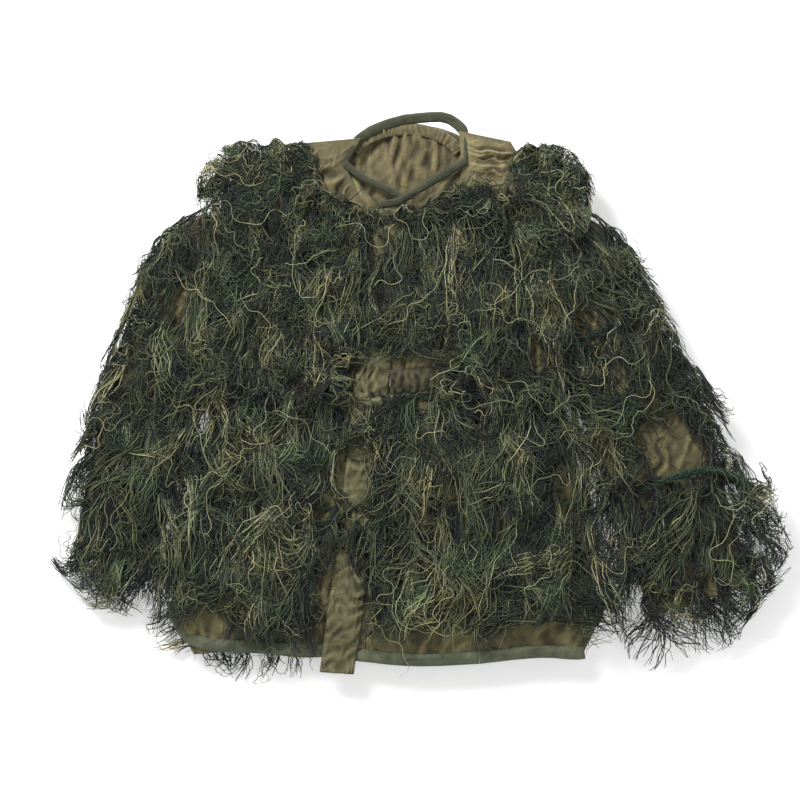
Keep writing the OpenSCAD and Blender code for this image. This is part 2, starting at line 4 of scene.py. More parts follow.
import bpy
import numpy as np
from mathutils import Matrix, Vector

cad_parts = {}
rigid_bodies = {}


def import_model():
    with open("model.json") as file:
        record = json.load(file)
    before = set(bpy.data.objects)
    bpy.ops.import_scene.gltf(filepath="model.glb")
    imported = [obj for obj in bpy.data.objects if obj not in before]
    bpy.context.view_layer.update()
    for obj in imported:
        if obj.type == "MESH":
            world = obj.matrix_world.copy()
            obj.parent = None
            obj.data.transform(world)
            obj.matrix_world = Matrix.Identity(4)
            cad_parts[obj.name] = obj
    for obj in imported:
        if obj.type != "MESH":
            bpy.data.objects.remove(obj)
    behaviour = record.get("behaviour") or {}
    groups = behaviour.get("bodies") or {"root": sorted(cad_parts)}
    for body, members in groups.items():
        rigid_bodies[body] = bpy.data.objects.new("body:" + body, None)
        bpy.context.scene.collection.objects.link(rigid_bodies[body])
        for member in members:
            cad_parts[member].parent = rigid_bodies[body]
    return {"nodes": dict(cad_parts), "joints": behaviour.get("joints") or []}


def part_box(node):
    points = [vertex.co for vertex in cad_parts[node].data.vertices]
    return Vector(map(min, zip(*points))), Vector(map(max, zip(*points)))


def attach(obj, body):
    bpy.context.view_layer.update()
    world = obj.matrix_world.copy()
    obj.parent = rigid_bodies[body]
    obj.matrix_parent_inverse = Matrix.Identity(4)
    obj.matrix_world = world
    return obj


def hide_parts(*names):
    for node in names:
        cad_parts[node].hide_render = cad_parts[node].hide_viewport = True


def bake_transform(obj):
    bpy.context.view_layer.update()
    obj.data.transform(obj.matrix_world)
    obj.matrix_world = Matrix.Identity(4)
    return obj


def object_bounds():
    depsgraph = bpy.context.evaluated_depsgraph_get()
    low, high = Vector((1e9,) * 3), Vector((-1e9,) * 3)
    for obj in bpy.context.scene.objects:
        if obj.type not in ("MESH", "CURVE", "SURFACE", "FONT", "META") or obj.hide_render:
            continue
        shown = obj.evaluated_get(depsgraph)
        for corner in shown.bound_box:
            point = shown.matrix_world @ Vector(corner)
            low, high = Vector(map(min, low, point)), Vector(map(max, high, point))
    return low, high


bl_info = {
    "name": "Ghillie jacket",
    "version": (1, 0, 0),
    "blender": (4, 5, 0),
    "location": "View3D > Sidebar > Ghillie",
    "description": "Builds the cloth, bindings, snaps and yarn fringe of a ghillie jacket that is laid flat",
    "category": "Object",
}

for stray in list(bpy.data.objects):
    bpy.data.objects.remove(stray)
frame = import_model()
CAD_LOW, CAD_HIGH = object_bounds()
JOINTS = {j["name"]: j for j in frame["joints"]}
MM = 0.001


def low_high(node):
    low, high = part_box(node)
    return np.array(low, float), np.array(high, float)


# ---------------------------------------------------------------- places, read from the frame

BACK_LOW, BACK_HIGH = low_high("back_panel")
PLACKET_LOW, PLACKET_HIGH = low_high("over_placket")
NECK_LOW, NECK_HIGH = low_high("back_neck_binding")
BACK_Z = BACK_HIGH[2]
LEFT_Z = low_high("left_front_panel")[1][2]
FLAP_Z = low_high("flap_panel")[1][2]
TOP_Z = low_high("flap_chest_fringe")[1][2]
HEM_Y = BACK_LOW[1]
FOLD_X = JOINTS["front_flap_fold"]["pos_m"][0]
PLACKET_W = 48 * MM
WAIST_Y = float(np.mean([low_high("left_waist_casing")[0][1], low_high("left_waist_casing")[1][1]]))
CASING_HALF = float(np.ptp([low_high("left_waist_casing")[0][1], low_high("left_waist_casing")[1][1]])) / 2
NECK_BOTTOM_Y = PLACKET_HIGH[1]
BINDING_W = 14 * MM
NECK_CX = (NECK_LOW[0] + NECK_HIGH[0]) / 2
NECK_HALF = 84 * MM
NECK_SIDE_Y = NECK_HIGH[1] - 80 * MM
HEM_LIFT = 65 * MM
SHOULDER_Y = BACK_HIGH[1] - 50 * MM
SHOULDER_HALF = 215 * MM


def placket_x(y):
    """The left edge of the placket at a height y."""
    low, high = PLACKET_LOW, PLACKET_HIGH
    share = (y - low[1]) / (high[1] - low[1])
    return low[0] + (high[0] - PLACKET_W - low[0]) * share


def unit(angle):
    return np.array([math.cos(math.radians(angle)), math.sin(math.radians(angle))])


class Arm:
    """One sleeve: its head, elbow and cuff, and the two directions between them."""

    def __init__(self, side, elbow_half, cuff_half, fore_len):
        self.side = side
        self.head = np.array(JOINTS[f"{side}_sleeve_swing"]["pos_m"][:2])
        self.elbow = np.array(JOINTS[f"{side}_elbow_bend"]["pos_m"][:2])
        low, high = low_high(f"{side}_cuff_elastic")
        cuff = (low[:2] + high[:2]) / 2
        self.upper_len = float(np.linalg.norm(self.elbow - self.head))
        self.fore_len = fore_len
        along, down = self.elbow - self.head, cuff - self.elbow
        self.upper_dir = math.degrees(math.atan2(along[1], along[0]))
        self.fore_dir = math.degrees(math.atan2(down[1], down[0]))
        self.head_half = 86 * MM
        self.elbow_half = elbow_half
        self.cuff_half = cuff_half

    def upper(self, u, v):
        """A point u down the upper sleeve and v to the left of its line."""
        return self.head + u * unit(self.upper_dir) + v * unit(self.upper_dir + 90)

    def fore(self, u, v):
        """A point u down the forearm and v to the left of its line."""
        return self.elbow + u * unit(self.fore_dir) + v * unit(self.fore_dir + 90)


ARMS = {
    "left": Arm("left", 64 * MM, 54 * MM, 215 * MM),
    "right": Arm("right", 80 * MM, 72 * MM, 285 * MM),
}


# ---------------------------------------------------------------- mesh helpers

def smoothstep(x):
    x = np.clip(x, 0.0, 1.0)
    return x * x * (3 - 2 * x)


def waves(x, y, size, seed, count=7):
    """Soft uneven ground of about -1 to 1, with features of about the size given in metres."""
    rng = np.random.default_rng(seed)
    total = np.zeros_like(x)
    for _ in range(count):
        a = rng.uniform(0, 2 * math.pi)
        k = 2 * math.pi / (size * rng.uniform(0.7, 1.6))
        total += np.sin(k * (x * math.cos(a) + y * math.sin(a)) + rng.uniform(0, 2 * math.pi))
    return total / math.sqrt(count)


def creases(x, y, size, seed, angle):
    """Ridged folds of 0 to 1, as thin cloth makes, mostly along one angle in degrees."""
    rng = np.random.default_rng(seed)
    warp = 0.35 * size * waves(x, y, size * 1.7, seed + 1)
    total = np.zeros_like(x)
    for i in range(3):
        a = math.radians(angle + rng.uniform(-22, 22))
        k = math.pi / (size * rng.uniform(0.75, 1.4))
        across = -x * math.sin(a) + y * math.cos(a)
        ridge = 1 - np.abs(np.sin(k * (across + warp) + rng.uniform(0, math.pi)))
        total += ridge ** 2.2 * (0.5 + 0.5 * waves(x, y, size * 3, seed + 5 + i, 4)).clip(0, 1)
    return total / 1.6


def deselect():
    for o in bpy.context.selected_objects:
        o.select_set(False)


def activate(obj):
    deselect()
    obj.select_set(True)
    bpy.context.view_layer.objects.active = obj


def apply_modifiers(obj):
    activate(obj)
    for m in list(obj.modifiers):
        bpy.ops.object.modifier_apply(modifier=m.name)


def coordinates(obj):
    co = np.empty(len(obj.data.vertices) * 3)
    obj.data.vertices.foreach_get("co", co)
    return co.reshape(-1, 3)


def set_coordinates(obj, co):
    obj.data.vertices.foreach_set("co", np.ascontiguousarray(co, dtype=np.float32).ravel())
    obj.data.update()


def between(points, share):
    """Points along a polyline of 2D or 3D points at shares of 0 to 1 of its length."""
    points = np.asarray(points, float)
    steps = np.r_[0, np.cumsum(np.linalg.norm(np.diff(points, axis=0), axis=1))]
    at = np.clip(share, 0, 1) * steps[-1]
    return np.stack([np.interp(at, steps, points[:, k]) for k in range(points.shape[1])], -1)


def smooth_line(points, rounds=2):
    """A polyline with its corners cut, its ends kept."""
    points = np.asarray(points, float)
    for _ in range(rounds):
        a, b = points[:-1], points[1:]
        cut = np.empty((2 * len(a), points.shape[1]))
        cut[0::2] = 0.75 * a + 0.25 * b
        cut[1::2] = 0.25 * a + 0.75 * b
        points = np.vstack([points[:1], cut[1:-1], points[-1:]])
    return points


def mark_folds(obj, column, line, z, reach):
    """Keeps in an attribute how far each point stands over (above 0.5) or under the cloth around it."""
    grid = np.zeros((line.max() + 1, column.max() + 1))
    grid[line, column] = z
    around = grid
    for axis, cells in ((0, reach[0]), (1, reach[1])):
        shifts = range(-cells, cells + 1)
        size = grid.shape[axis]
        rows = [np.take(around, np.clip(np.arange(size) + k, 0, size - 1), axis) for k in shifts]
        around = np.mean(rows, axis=0)
    # The cloth material paints shade in the low places and a highlight on the high ones from this value
    shade = np.clip(0.5 + (grid - around) / (5 * MM), 0, 1)
    layer = obj.data.attributes.new("Fold", "FLOAT", "POINT")
    layer.data.foreach_set("value", shade[line, column].astype(np.float32))


def thicken(obj, thick, material):
    """Gives a laid surface its thickness, downwards, and its material."""
    solid = obj.modifiers.new("Thickness", "SOLIDIFY")
    solid.thickness = thick
    solid.offset = -1
    apply_modifiers(obj)
    obj.data.materials.clear()
    obj.data.materials.append(material)
    obj.data.shade_smooth()


def cloth(name, left, right, nx, ny, height, material, thick=0.9 * MM, body="torso", shape=None):
    """A sheet between two edges that run from its bottom to its top, with z from height(x, y, s, t)."""
    deselect()
    bpy.ops.mesh.primitive_grid_add(x_subdivisions=nx, y_subdivisions=ny, size=2)
    obj = bpy.context.object
    obj.name = obj.data.name = name
    co = coordinates(obj)
    s, t = (co[:, 0] + 1) / 2, (co[:, 1] + 1) / 2
    left, right = np.asarray(left, float), np.asarray(right, float)
    steps = np.linalg.norm(np.diff(left, axis=0), axis=1) + np.linalg.norm(np.diff(right, axis=0), axis=1)
    knots = np.r_[0, np.cumsum(steps)] / steps.sum()
    a = np.stack([np.interp(t, knots, left[:, k]) for k in (0, 1)], -1)
    b = np.stack([np.interp(t, knots, right[:, k]) for k in (0, 1)], -1)
    xy = a + (b - a) * s[:, None]
    if shape is not None:
        xy = xy + shape(xy[:, 0], xy[:, 1], s, t)
    z = height(xy[:, 0], xy[:, 1], s, t)
    set_coordinates(obj, np.column_stack([xy, z]))
    area = sum(p.area for p in obj.data.polygons)
    reach = [max(1, round(9 * MM * n / np.ptp(xy[:, k]))) for k, n in ((1, ny), (0, nx))]
    # Keeps the folds for the painted shade and highlight of the material
    mark_folds(obj, np.rint(s * nx).astype(int), np.rint(t * ny).astype(int), z, reach)
    thicken(obj, thick, material)
    if body:
        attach(obj, body)
    return obj, area


def tape(name, path, width, material, body="torso", thick=1.6 * MM, across=6, crown=1.2 * MM, step=6 * MM,
         pucker=0.0, pitch=9 * MM, taper=((0, 1), (1, 1)), ragged=0.0):
    """A folded tape along a path of 3D points, crowned in the middle, with puckers of a height and a pitch.

    The taper pairs a share of the length with a share of the width, and ragged wavers the width.
    """
    path = np.asarray(path, float)
    total = np.linalg.norm(np.diff(path, axis=0), axis=1).sum()
    count = max(8, int(total / step))
    centre = between(path, np.linspace(0, 1, count + 1))
    along = np.gradient(centre[:, :2], axis=0)
    along /= np.linalg.norm(along, axis=1)[:, None]
    side = np.stack([-along[:, 1], along[:, 0]], -1)
    deselect()
    bpy.ops.mesh.primitive_grid_add(x_subdivisions=across, y_subdivisions=count, size=2)
    obj = bpy.context.object
    obj.name = obj.data.name = name
    co = coordinates(obj)
    k = np.rint((co[:, 1] + 1) / 2 * count).astype(int)
    s = -co[:, 0]
    half = width / 2 * np.interp(k / count, [a for a, _ in taper], [b for _, b in taper])
    half = half * (1 + ragged * waves(centre[k, 0] + 40 * MM * s, centre[k, 1], 30 * MM, 79))
    x = centre[k, 0] + side[k, 0] * s * half
    y = centre[k, 1] + side[k, 1] * s * half
    z = centre[k, 2] + crown * (1 - s ** 2) - 0.9 * MM * np.abs(s) ** 6
    z = z + 0.5 * MM * waves(x, y, 16 * MM, 71) * (1 - 0.4 * np.abs(s))
    run = k / count * total + 2.5 * MM * waves(x, y, 40 * MM, 73)
    uneven = 0.75 + 0.35 * waves(x, y, 30 * MM, 74)
    z = z + pucker * uneven * np.sin(2 * math.pi * run / pitch) * (1 - 0.25 * np.abs(s)) + pucker
    if pucker > 0.8 * MM:
        z = z + 2.2 * pucker * creases(x, y, 16 * MM, 75, 84) - pucker
    set_coordinates(obj, np.column_stack([x, y, z]))
    column = np.rint((co[:, 0] + 1) / 2 * across).astype(int)
    # Keeps the folds for the painted shade and highlight of the material
    mark_folds(obj, column, k, z - crown * (1 - s ** 2), (max(1, round(6 * MM / (total / count))), 2))
    thicken(obj, thick, material)
    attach(obj, body)
    return obj


class Tubes:
    """Thin tubes in one mesh. Each is told by its path, radius and tone, and its map holds tone and place."""

    def __init__(self, sides=3):
        self.sides = sides
        self.groups = []

    def add(self, paths, radius, tone):
        """paths is (tubes, points, 3), radius (tubes,) or (tubes, points), tone (tubes,) from 0 to 1."""
        paths = np.asarray(paths, float)
        radius = np.asarray(radius, float)
        if radius.ndim == 1:
            radius = np.repeat(radius[:, None], paths.shape[1], 1)
        self.groups.append((paths, radius, np.asarray(tone, float)))

    def build(self, name, material, body):
        sides = self.sides
        tones = np.concatenate([g[2] for g in self.groups])
        rank = np.empty(len(tones))
        rank[np.argsort(tones, kind="stable")] = np.arange(len(tones))
        verts, quads, caps, quad_uv, cap_uv = [], [], [], [], []
        base, first = 0, 0
        for paths, radius, tone in self.groups:
            n, m, _ = paths.shape
            along = np.gradient(paths, axis=1)
            along /= np.maximum(np.linalg.norm(along, axis=2), 1e-9)[..., None]
            side = np.stack([-along[..., 1], along[..., 0], np.zeros((n, m))], -1)
            side /= np.maximum(np.linalg.norm(side, axis=2), 1e-6)[..., None]
            up = np.cross(along, side)
            up *= np.sign(up[..., 2:3] + 1e-9)
            ring = np.arange(sides) * 2 * math.pi / sides + math.pi / 2
            offset = (np.cos(ring)[:, None, None, None] * side + np.sin(ring)[:, None, None, None] * up)
            v = paths[None] + offset * radius[None, ..., None]
            v = v.transpose(1, 2, 0, 3)
            verts.append(v.reshape(-1, 3))
            idx = base + np.arange(n * m * sides).reshape(n, m, sides)
            a, b = idx[:, :-1], idx[:, 1:]
            q = np.stack([a, np.roll(a, -1, 2), np.roll(b, -1, 2), b], -1)
            flip = (np.cross(along, side)[:, :-1, 2] < 0)
            q[flip] = q[flip][..., ::-1]
            quads.append(q.reshape(-1, 4))
            r = (rank[first:first + n] / max(len(tones), 1))[:, None, None]
            width = 1.0 / max(len(tones), 1)
            k = np.arange(sides)[None, None, :] / sides
            u0 = np.broadcast_to(r + width * k * 0.9, (n, m - 1, sides))
            u1 = np.broadcast_to(r + width * (k + 1 / sides) * 0.9, (n, m - 1, sides))
            place = np.linspace(0.01, 0.99, m)
            v0 = np.broadcast_to(place[None, :-1, None], (n, m - 1, sides))
            v1 = np.broadcast_to(place[None, 1:, None], (n, m - 1, sides))
            uv = np.stack([np.stack([u0, v0], -1), np.stack([u1, v0], -1),
                           np.stack([u1, v1], -1), np.stack([u0, v1], -1)], -2)
            uv[flip] = uv[flip][..., ::-1, :]
            quad_uv.append(uv.reshape(-1, 2))
            ends = np.concatenate([idx[:, 0, ::-1], idx[:, -1, :]])
            starts_flip = np.cross(along, side)[:, 0, 2] < 0
            ends_flip = np.cross(along, side)[:, -1, 2] < 0
            both = np.concatenate([starts_flip, ends_flip])
            ends[both] = ends[both][:, ::-1]
            caps.append(ends)
            spot = np.concatenate([np.stack([r[:, 0, 0], np.full(n, 0.01)], -1),
                                   np.stack([r[:, 0, 0], np.full(n, 0.985)], -1)])
            tri = np.repeat(spot[:, None], sides, 1)
            tri = tri + np.stack([np.arange(sides) % 2 * width * 0.5, np.arange(sides) // 2 * 0.004], -1)
            cap_uv.append(tri.reshape(-1, 2))
            base += n * m * sides
            first += n
        verts = np.concatenate(verts)
        quads = np.concatenate(quads)
        caps = np.concatenate(caps)
        loops = np.concatenate([quads.ravel(), caps.ravel()])
        sizes = np.concatenate([np.full(len(quads), 4), np.full(len(caps), sides)])
        mesh = bpy.data.meshes.new(name)
        mesh.vertices.add(len(verts))
        mesh.vertices.foreach_set("co", verts.astype(np.float32).ravel())
        mesh.loops.add(len(loops))
        mesh.loops.foreach_set("vertex_index", loops.astype(np.int32))
        mesh.polygons.add(len(sizes))
        mesh.polygons.foreach_set("loop_start", np.r_[0, np.cumsum(sizes)[:-1]].astype(np.int32))
        layer = mesh.uv_layers.new(name="OFBake", do_init=False)
        layer.uv.foreach_set("vector", np.concatenate(quad_uv + cap_uv).astype(np.float32).ravel())
        mesh.update(calc_edges=True)
        mesh.validate()
        obj = bpy.data.objects.new(name, mesh)
        bpy.context.scene.collection.objects.link(obj)
        mesh.materials.append(material)
        mesh.shade_smooth()
        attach(obj, body)
        return obj


# ---------------------------------------------------------------- materials

def new_material(name, roughness, sheen=0.0):
    mat = bpy.data.materials.new(name)
    mat.use_nodes = True
    shader = mat.node_tree.nodes["Principled BSDF"]
    shader.inputs["Roughness"].default_value = roughness
    shader.inputs["Specular IOR Level"].default_value = 0.25
    if sheen:
        shader.inputs["Sheen Weight"].default_value = sheen
    return mat, mat.node_tree, shader


def ramp(nt, stops):
    node = nt.nodes.new("ShaderNodeValToRGB")
    elements = node.color_ramp.elements
    while len(elements) < len(stops):
        elements.new(0.5)
    for element, (place, colour) in zip(elements, stops):
        element.position = place
        element.color = (*colour, 1)
    return node


def multiply(nt, first, second, factor=1.0):
    """Multiplies two colours and gives the output that holds the product."""
    mix = nt.nodes.new("ShaderNodeMix")
    mix.data_type = "RGBA"
    mix.blend_type = "MULTIPLY"
    mix.inputs["Factor"].default_value = factor
    nt.links.new(first, mix.inputs[6])
    nt.links.new(second, mix.inputs[7])
    return mix.outputs[2]


def noise_fac(nt, where, scale, detail, distortion=0.0):
    """Noise over the given coordinates, as an output of 0 to 1."""
    noise = nt.nodes.new("ShaderNodeTexNoise")
    noise.inputs["Scale"].default_value = scale
    noise.inputs["Detail"].default_value = detail
    noise.inputs["Distortion"].default_value = distortion
    nt.links.new(where, noise.inputs["Vector"])
    return noise.outputs["Fac"]


def bump(nt, height, strength, distance):
    node = nt.nodes.new("ShaderNodeBump")
    node.inputs["Strength"].default_value = strength
    node.inputs["Distance"].default_value = distance
    nt.links.new(height, node.inputs["Height"])
    return node


def linear(r, g, b):
    """A colour given from 0 to 255 as the eye sees it, in the linear values that a shader takes."""
    shares = [c / 255 for c in (r, g, b)]
    return tuple(c / 12.92 if c <= 0.04045 else ((c + 0.055) / 1.055) ** 2.4 for c in shares)


def weave_group():
    """Woven cloth: a fine over-and-under height, and a mask of uneven dye and dust."""
    group = bpy.data.node_groups.new("Woven cloth", "ShaderNodeTree")
    face = group.interface
    face.new_socket("Thread size", in_out="INPUT", socket_type="NodeSocketFloat").default_value = 0.0007
    face.new_socket("Blotch size", in_out="INPUT", socket_type="NodeSocketFloat").default_value = 0.05
    face.new_socket("Height", in_out="OUTPUT", socket_type="NodeSocketFloat")
    face.new_socket("Blotch", in_out="OUTPUT", socket_type="NodeSocketFloat")
    nodes, links = group.nodes, group.links
    inside, outside = nodes.new("NodeGroupInput"), nodes.new("NodeGroupOutput")
    where = nodes.new("ShaderNodeTexCoord")
    scale = nodes.new("ShaderNodeMath")
    scale.operation = "DIVIDE"
    scale.inputs[0].default_value = 1.0
    links.new(inside.outputs["Thread size"], scale.inputs[1])
    threads = []
    for direction in ("X", "Y"):
        wave = nodes.new("ShaderNodeTexWave")
        wave.wave_type = "BANDS"
        wave.bands_direction = direction
        wave.inputs["Distortion"].default_value = 1.2
        wave.inputs["Detail"].default_value = 1.0
        wave.inputs["Detail Scale"].default_value = 0.4
        links.new(where.outputs["Object"], wave.inputs["Vector"])
        links.new(scale.outputs[0], wave.inputs["Scale"])
        threads.append(wave)
    over = nodes.new("ShaderNodeMath")
    over.operation = "MAXIMUM"
    links.new(threads[0].outputs["Fac"], over.inputs[0])
    links.new(threads[1].outputs["Fac"], over.inputs[1])
    links.new(over.outputs[0], outside.inputs["Height"])
    blotch_scale = nodes.new("ShaderNodeMath")
    blotch_scale.operation = "DIVIDE"
    blotch_scale.inputs[0].default_value = 1.0
    links.new(inside.outputs["Blotch size"], blotch_scale.inputs[1])
    noise = nodes.new("ShaderNodeTexNoise")
    noise.inputs["Detail"].default_value = 6.0
    noise.inputs["Roughness"].default_value = 0.62
    links.new(where.outputs["Object"], noise.inputs["Vector"])
    links.new(blotch_scale.outputs[0], noise.inputs["Scale"])
    links.new(noise.outputs["Fac"], outside.inputs["Blotch"])
    return group


def cloth_material(name, dark, middle, light, thread, weave_depth, roughness, sheen, group):
    """Woven cloth with uneven dye, small creases and a fine weave, with painted shade in its folds and a
    painted highlight on its ridges.
    """
    mat, nt, shader = new_material(name, roughness, sheen)
    weave = nt.nodes.new("ShaderNodeGroup")
    weave.node_tree = group
    weave.inputs["Thread size"].default_value = thread
    weave.inputs["Blotch size"].default_value = 0.045
    colours = ramp(nt, [(0.3, dark), (0.5, middle), (0.72, light)])
    nt.links.new(weave.outputs["Blotch"], colours.inputs["Fac"])
    shade = multiply(nt, colours.outputs["Color"], weave.outputs["Height"], 0.22)
    fold = nt.nodes.new("ShaderNodeAttribute")
    fold.attribute_name = "Fold"
    # Painted shade in the low places of the cloth and painted highlight on its high places, from the Fold
    # attribute
    fold_shade_and_highlight = ramp(nt, [(0.0, (0.3, 0.27, 0.23)), (0.28, (0.62, 0.6, 0.55)), (0.5, (1.0, 1.0, 1.0)),
                     (0.72, (1.28, 1.26, 1.2)), (1.0, (1.5, 1.46, 1.36))])
    nt.links.new(fold.outputs["Fac"], fold_shade_and_highlight.inputs["Fac"])
    nt.links.new(multiply(nt, shade, fold_shade_and_highlight.outputs["Color"]), shader.inputs["Base Color"])
    where = nt.nodes.new("ShaderNodeTexCoord")
    coarse = bump(nt, noise_fac(nt, where.outputs["Object"], 70.0, 5.0, 0.8), 0.8, 0.0035)
    fine = bump(nt, weave.outputs["Height"], 0.5, weave_depth)
    nt.links.new(coarse.outputs["Normal"], fine.inputs["Normal"])
    nt.links.new(fine.outputs["Normal"], shader.inputs["Normal"])
    rough = ramp(nt, [(0.3, (roughness - 0.08,) * 3), (0.7, (roughness + 0.08,) * 3)])
    nt.links.new(weave.outputs["Blotch"], rough.inputs["Fac"])
    nt.links.new(rough.outputs["Color"], shader.inputs["Roughness"])
    return mat


def yarn_material(name, stops, roughness=0.8):
    """Loose yarn, coloured by the tone in the piece's own map, with painted shade at the root and lighter at
    the tip.
    """
    mat, nt, shader = new_material(name, roughness, 0.12)
    uv = nt.nodes.new("ShaderNodeUVMap")
    uv.uv_map = "OFBake"
    split = nt.nodes.new("ShaderNodeSeparateXYZ")
    nt.links.new(uv.outputs["UV"], split.inputs[0])
    colours = ramp(nt, stops)
    nt.links.new(split.outputs["X"], colours.inputs["Fac"])
    # Painted shade: darker at the root, where the strands lie under others, and lighter towards the tip
    along = ramp(nt, [(0.0, (0.4, 0.42, 0.4)), (0.3, (0.92, 0.94, 0.92)), (1.0, (1.12, 1.1, 1.02))])
    nt.links.new(split.outputs["Y"], along.inputs["Fac"])
    stretch = nt.nodes.new("ShaderNodeMapping")
    stretch.inputs["Scale"].default_value = (700.0, 26.0, 1.0)
    nt.links.new(uv.outputs["UV"], stretch.inputs["Vector"])
    twist = noise_fac(nt, stretch.outputs["Vector"], 1.0, 2.0)
    mottle = ramp(nt, [(0.25, (0.72, 0.74, 0.72)), (0.75, (1.25, 1.22, 1.18))])
    nt.links.new(twist, mottle.inputs["Fac"])
    where = nt.nodes.new("ShaderNodeTexCoord")
    dyes = ramp(nt, [(0.38, (0.8, 0.98, 0.88)), (0.5, (1.0, 1.0, 1.0)), (0.62, (1.14, 1.07, 0.88))])
    nt.links.new(noise_fac(nt, where.outputs["Object"], 19.0, 2.0), dyes.inputs["Fac"])
    colour = colours.outputs["Color"]
    for tint in (along, mottle, dyes):
        colour = multiply(nt, colour, tint.outputs["Color"])
    nt.links.new(colour, shader.inputs["Base Color"])
    nt.links.new(bump(nt, twist, 0.4, 0.0005).outputs["Normal"], shader.inputs["Normal"])
    return mat


def metal_material(name):
    """Black painted snap metal with uneven wear."""
    mat, nt, shader = new_material(name, 0.38)
    where = nt.nodes.new("ShaderNodeTexCoord")
    noise = noise_fac(nt, where.outputs["Object"], 420.0, 4.0)
    colours = ramp(nt, [(0.35, linear(22, 22, 21)), (0.7, linear(48, 47, 43))])
    nt.links.new(noise, colours.inputs["Fac"])
    nt.links.new(colours.outputs["Color"], shader.inputs["Base Color"])
    rough = ramp(nt, [(0.3, (0.28,) * 3), (0.75, (0.5,) * 3)])
    nt.links.new(noise, rough.inputs["Fac"])
    nt.links.new(rough.outputs["Color"], shader.inputs["Roughness"])
    shader.inputs["Metallic"].default_value = 0.6
    return mat


YARN_STOPS = [
    (0.0, linear(4, 5, 5)), (0.17, linear(7, 10, 8)), (0.33, linear(13, 21, 16)),
    (0.47, linear(18, 39, 31)), (0.58, linear(39, 54, 40)), (0.70, linear(60, 75, 57)),
    (0.81, linear(82, 91, 66)), (0.91, linear(108, 113, 83)), (0.965, linear(140, 141, 107)),
    (1.0, linear(196, 191, 157)),
]
KNOT_STOPS = [(0.0, linear(18, 36, 30)), (0.5, linear(28, 52, 42)), (1.0, linear(48, 68, 50))]
MATERIALS = {}


def make_materials():
    """Makes every material, with the shell's and the binding's middle colours from the settings."""
    weave = weave_group()
    MATERIALS["shell"] = cloth_material(
        "Tan shell cloth", linear(88, 84, 56), tuple(cloth_settings().shell_colour), linear(127, 119, 85),
        0.0009, 0.0003, 0.62, 0.25, weave)
    MATERIALS["lining"] = cloth_material(
        "Tan inner cloth", linear(86, 80, 53), linear(106, 98, 68), linear(122, 113, 82),
        0.0009, 0.0003, 0.6, 0.25, weave)
    # A lighter copy of the inner cloth for the right yoke: painted light
    MATERIALS["yoke"] = cloth_material(
        "Tan yoke cloth", linear(99, 92, 62), linear(122, 113, 79), linear(140, 130, 95),
        0.0009, 0.0003, 0.6, 0.25, weave)
    # A darker copy of the tan cloth for the waist casings: painted shade
    MATERIALS["waist"] = cloth_material(
        "Shaded waist cloth", linear(52, 51, 33), linear(68, 66, 43), linear(86, 82, 56),
        0.0009, 0.0003, 0.65, 0.2, weave)
    MATERIALS["placket"] = cloth_material(
        "Olive placket cloth", linear(86, 84, 58), linear(106, 103, 73), linear(126, 121, 89),
        0.0009, 0.0003, 0.62, 0.2, weave)
    MATERIALS["binding"] = cloth_material(
        "Green binding", linear(48, 51, 36), tuple(cloth_settings().binding_colour), linear(75, 78, 57),
        0.0011, 0.0004, 0.7, 0.2, weave)
    MATERIALS["hem"] = cloth_material(
        "Green hem binding", linear(76, 81, 62), linear(95, 101, 79), linear(114, 120, 97),
        0.0011, 0.0004, 0.7, 0.2, weave)
    MATERIALS["elastic"] = cloth_material(
        "Ribbed elastic", linear(196, 190, 172), linear(214, 209, 192), linear(226, 222, 208),
        0.0016, 0.0006, 0.75, 0.1, weave)
    MATERIALS["yarn"] = yarn_material("Camouflage yarn", YARN_STOPS)
    MATERIALS["knot"] = yarn_material("Knotted header cord", KNOT_STOPS, 0.85)
    MATERIALS["thread"] = yarn_material(
        "Sewing thread", [(0.0, linear(112, 102, 70)), (1.0, linear(138, 127, 90))], 0.7)
    MATERIALS["snap"] = metal_material("Black snap metal")


# ---------------------------------------------------------------- yarn

CHEST_Y = low_high("left_chest_fringe")[1][1] + 12 * MM
WAIST_ROW_Y = low_high("left_waist_fringe")[1][1] + 12 * MM
SKIRT_ROW_Y = low_high("left_skirt_fringe")[1][1] + 12 * MM


def left_edge(y):
    return float(np.interp(y, [HEM_Y, HEM_Y + HEM_LIFT, WAIST_Y, CHEST_Y, SHOULDER_Y], [
        BACK_LOW[0] + HEM_LIFT / 2, BACK_LOW[0], low_high("left_waist_casing")[0][0] - 8 * MM,
        ARMS["left"].head[0] + 30 * MM, NECK_CX - SHOULDER_HALF - 22 * MM]))


def right_edge(y):
    return float(np.interp(y, [HEM_Y, HEM_Y + HEM_LIFT, WAIST_Y, CHEST_Y, SHOULDER_Y], [
        BACK_HIGH[0] - HEM_LIFT / 2, BACK_HIGH[0], low_high("right_waist_casing")[1][0] + 8 * MM,
        ARMS["right"].head[0] - 30 * MM, NECK_CX + SHOULDER_HALF - 22 * MM]))


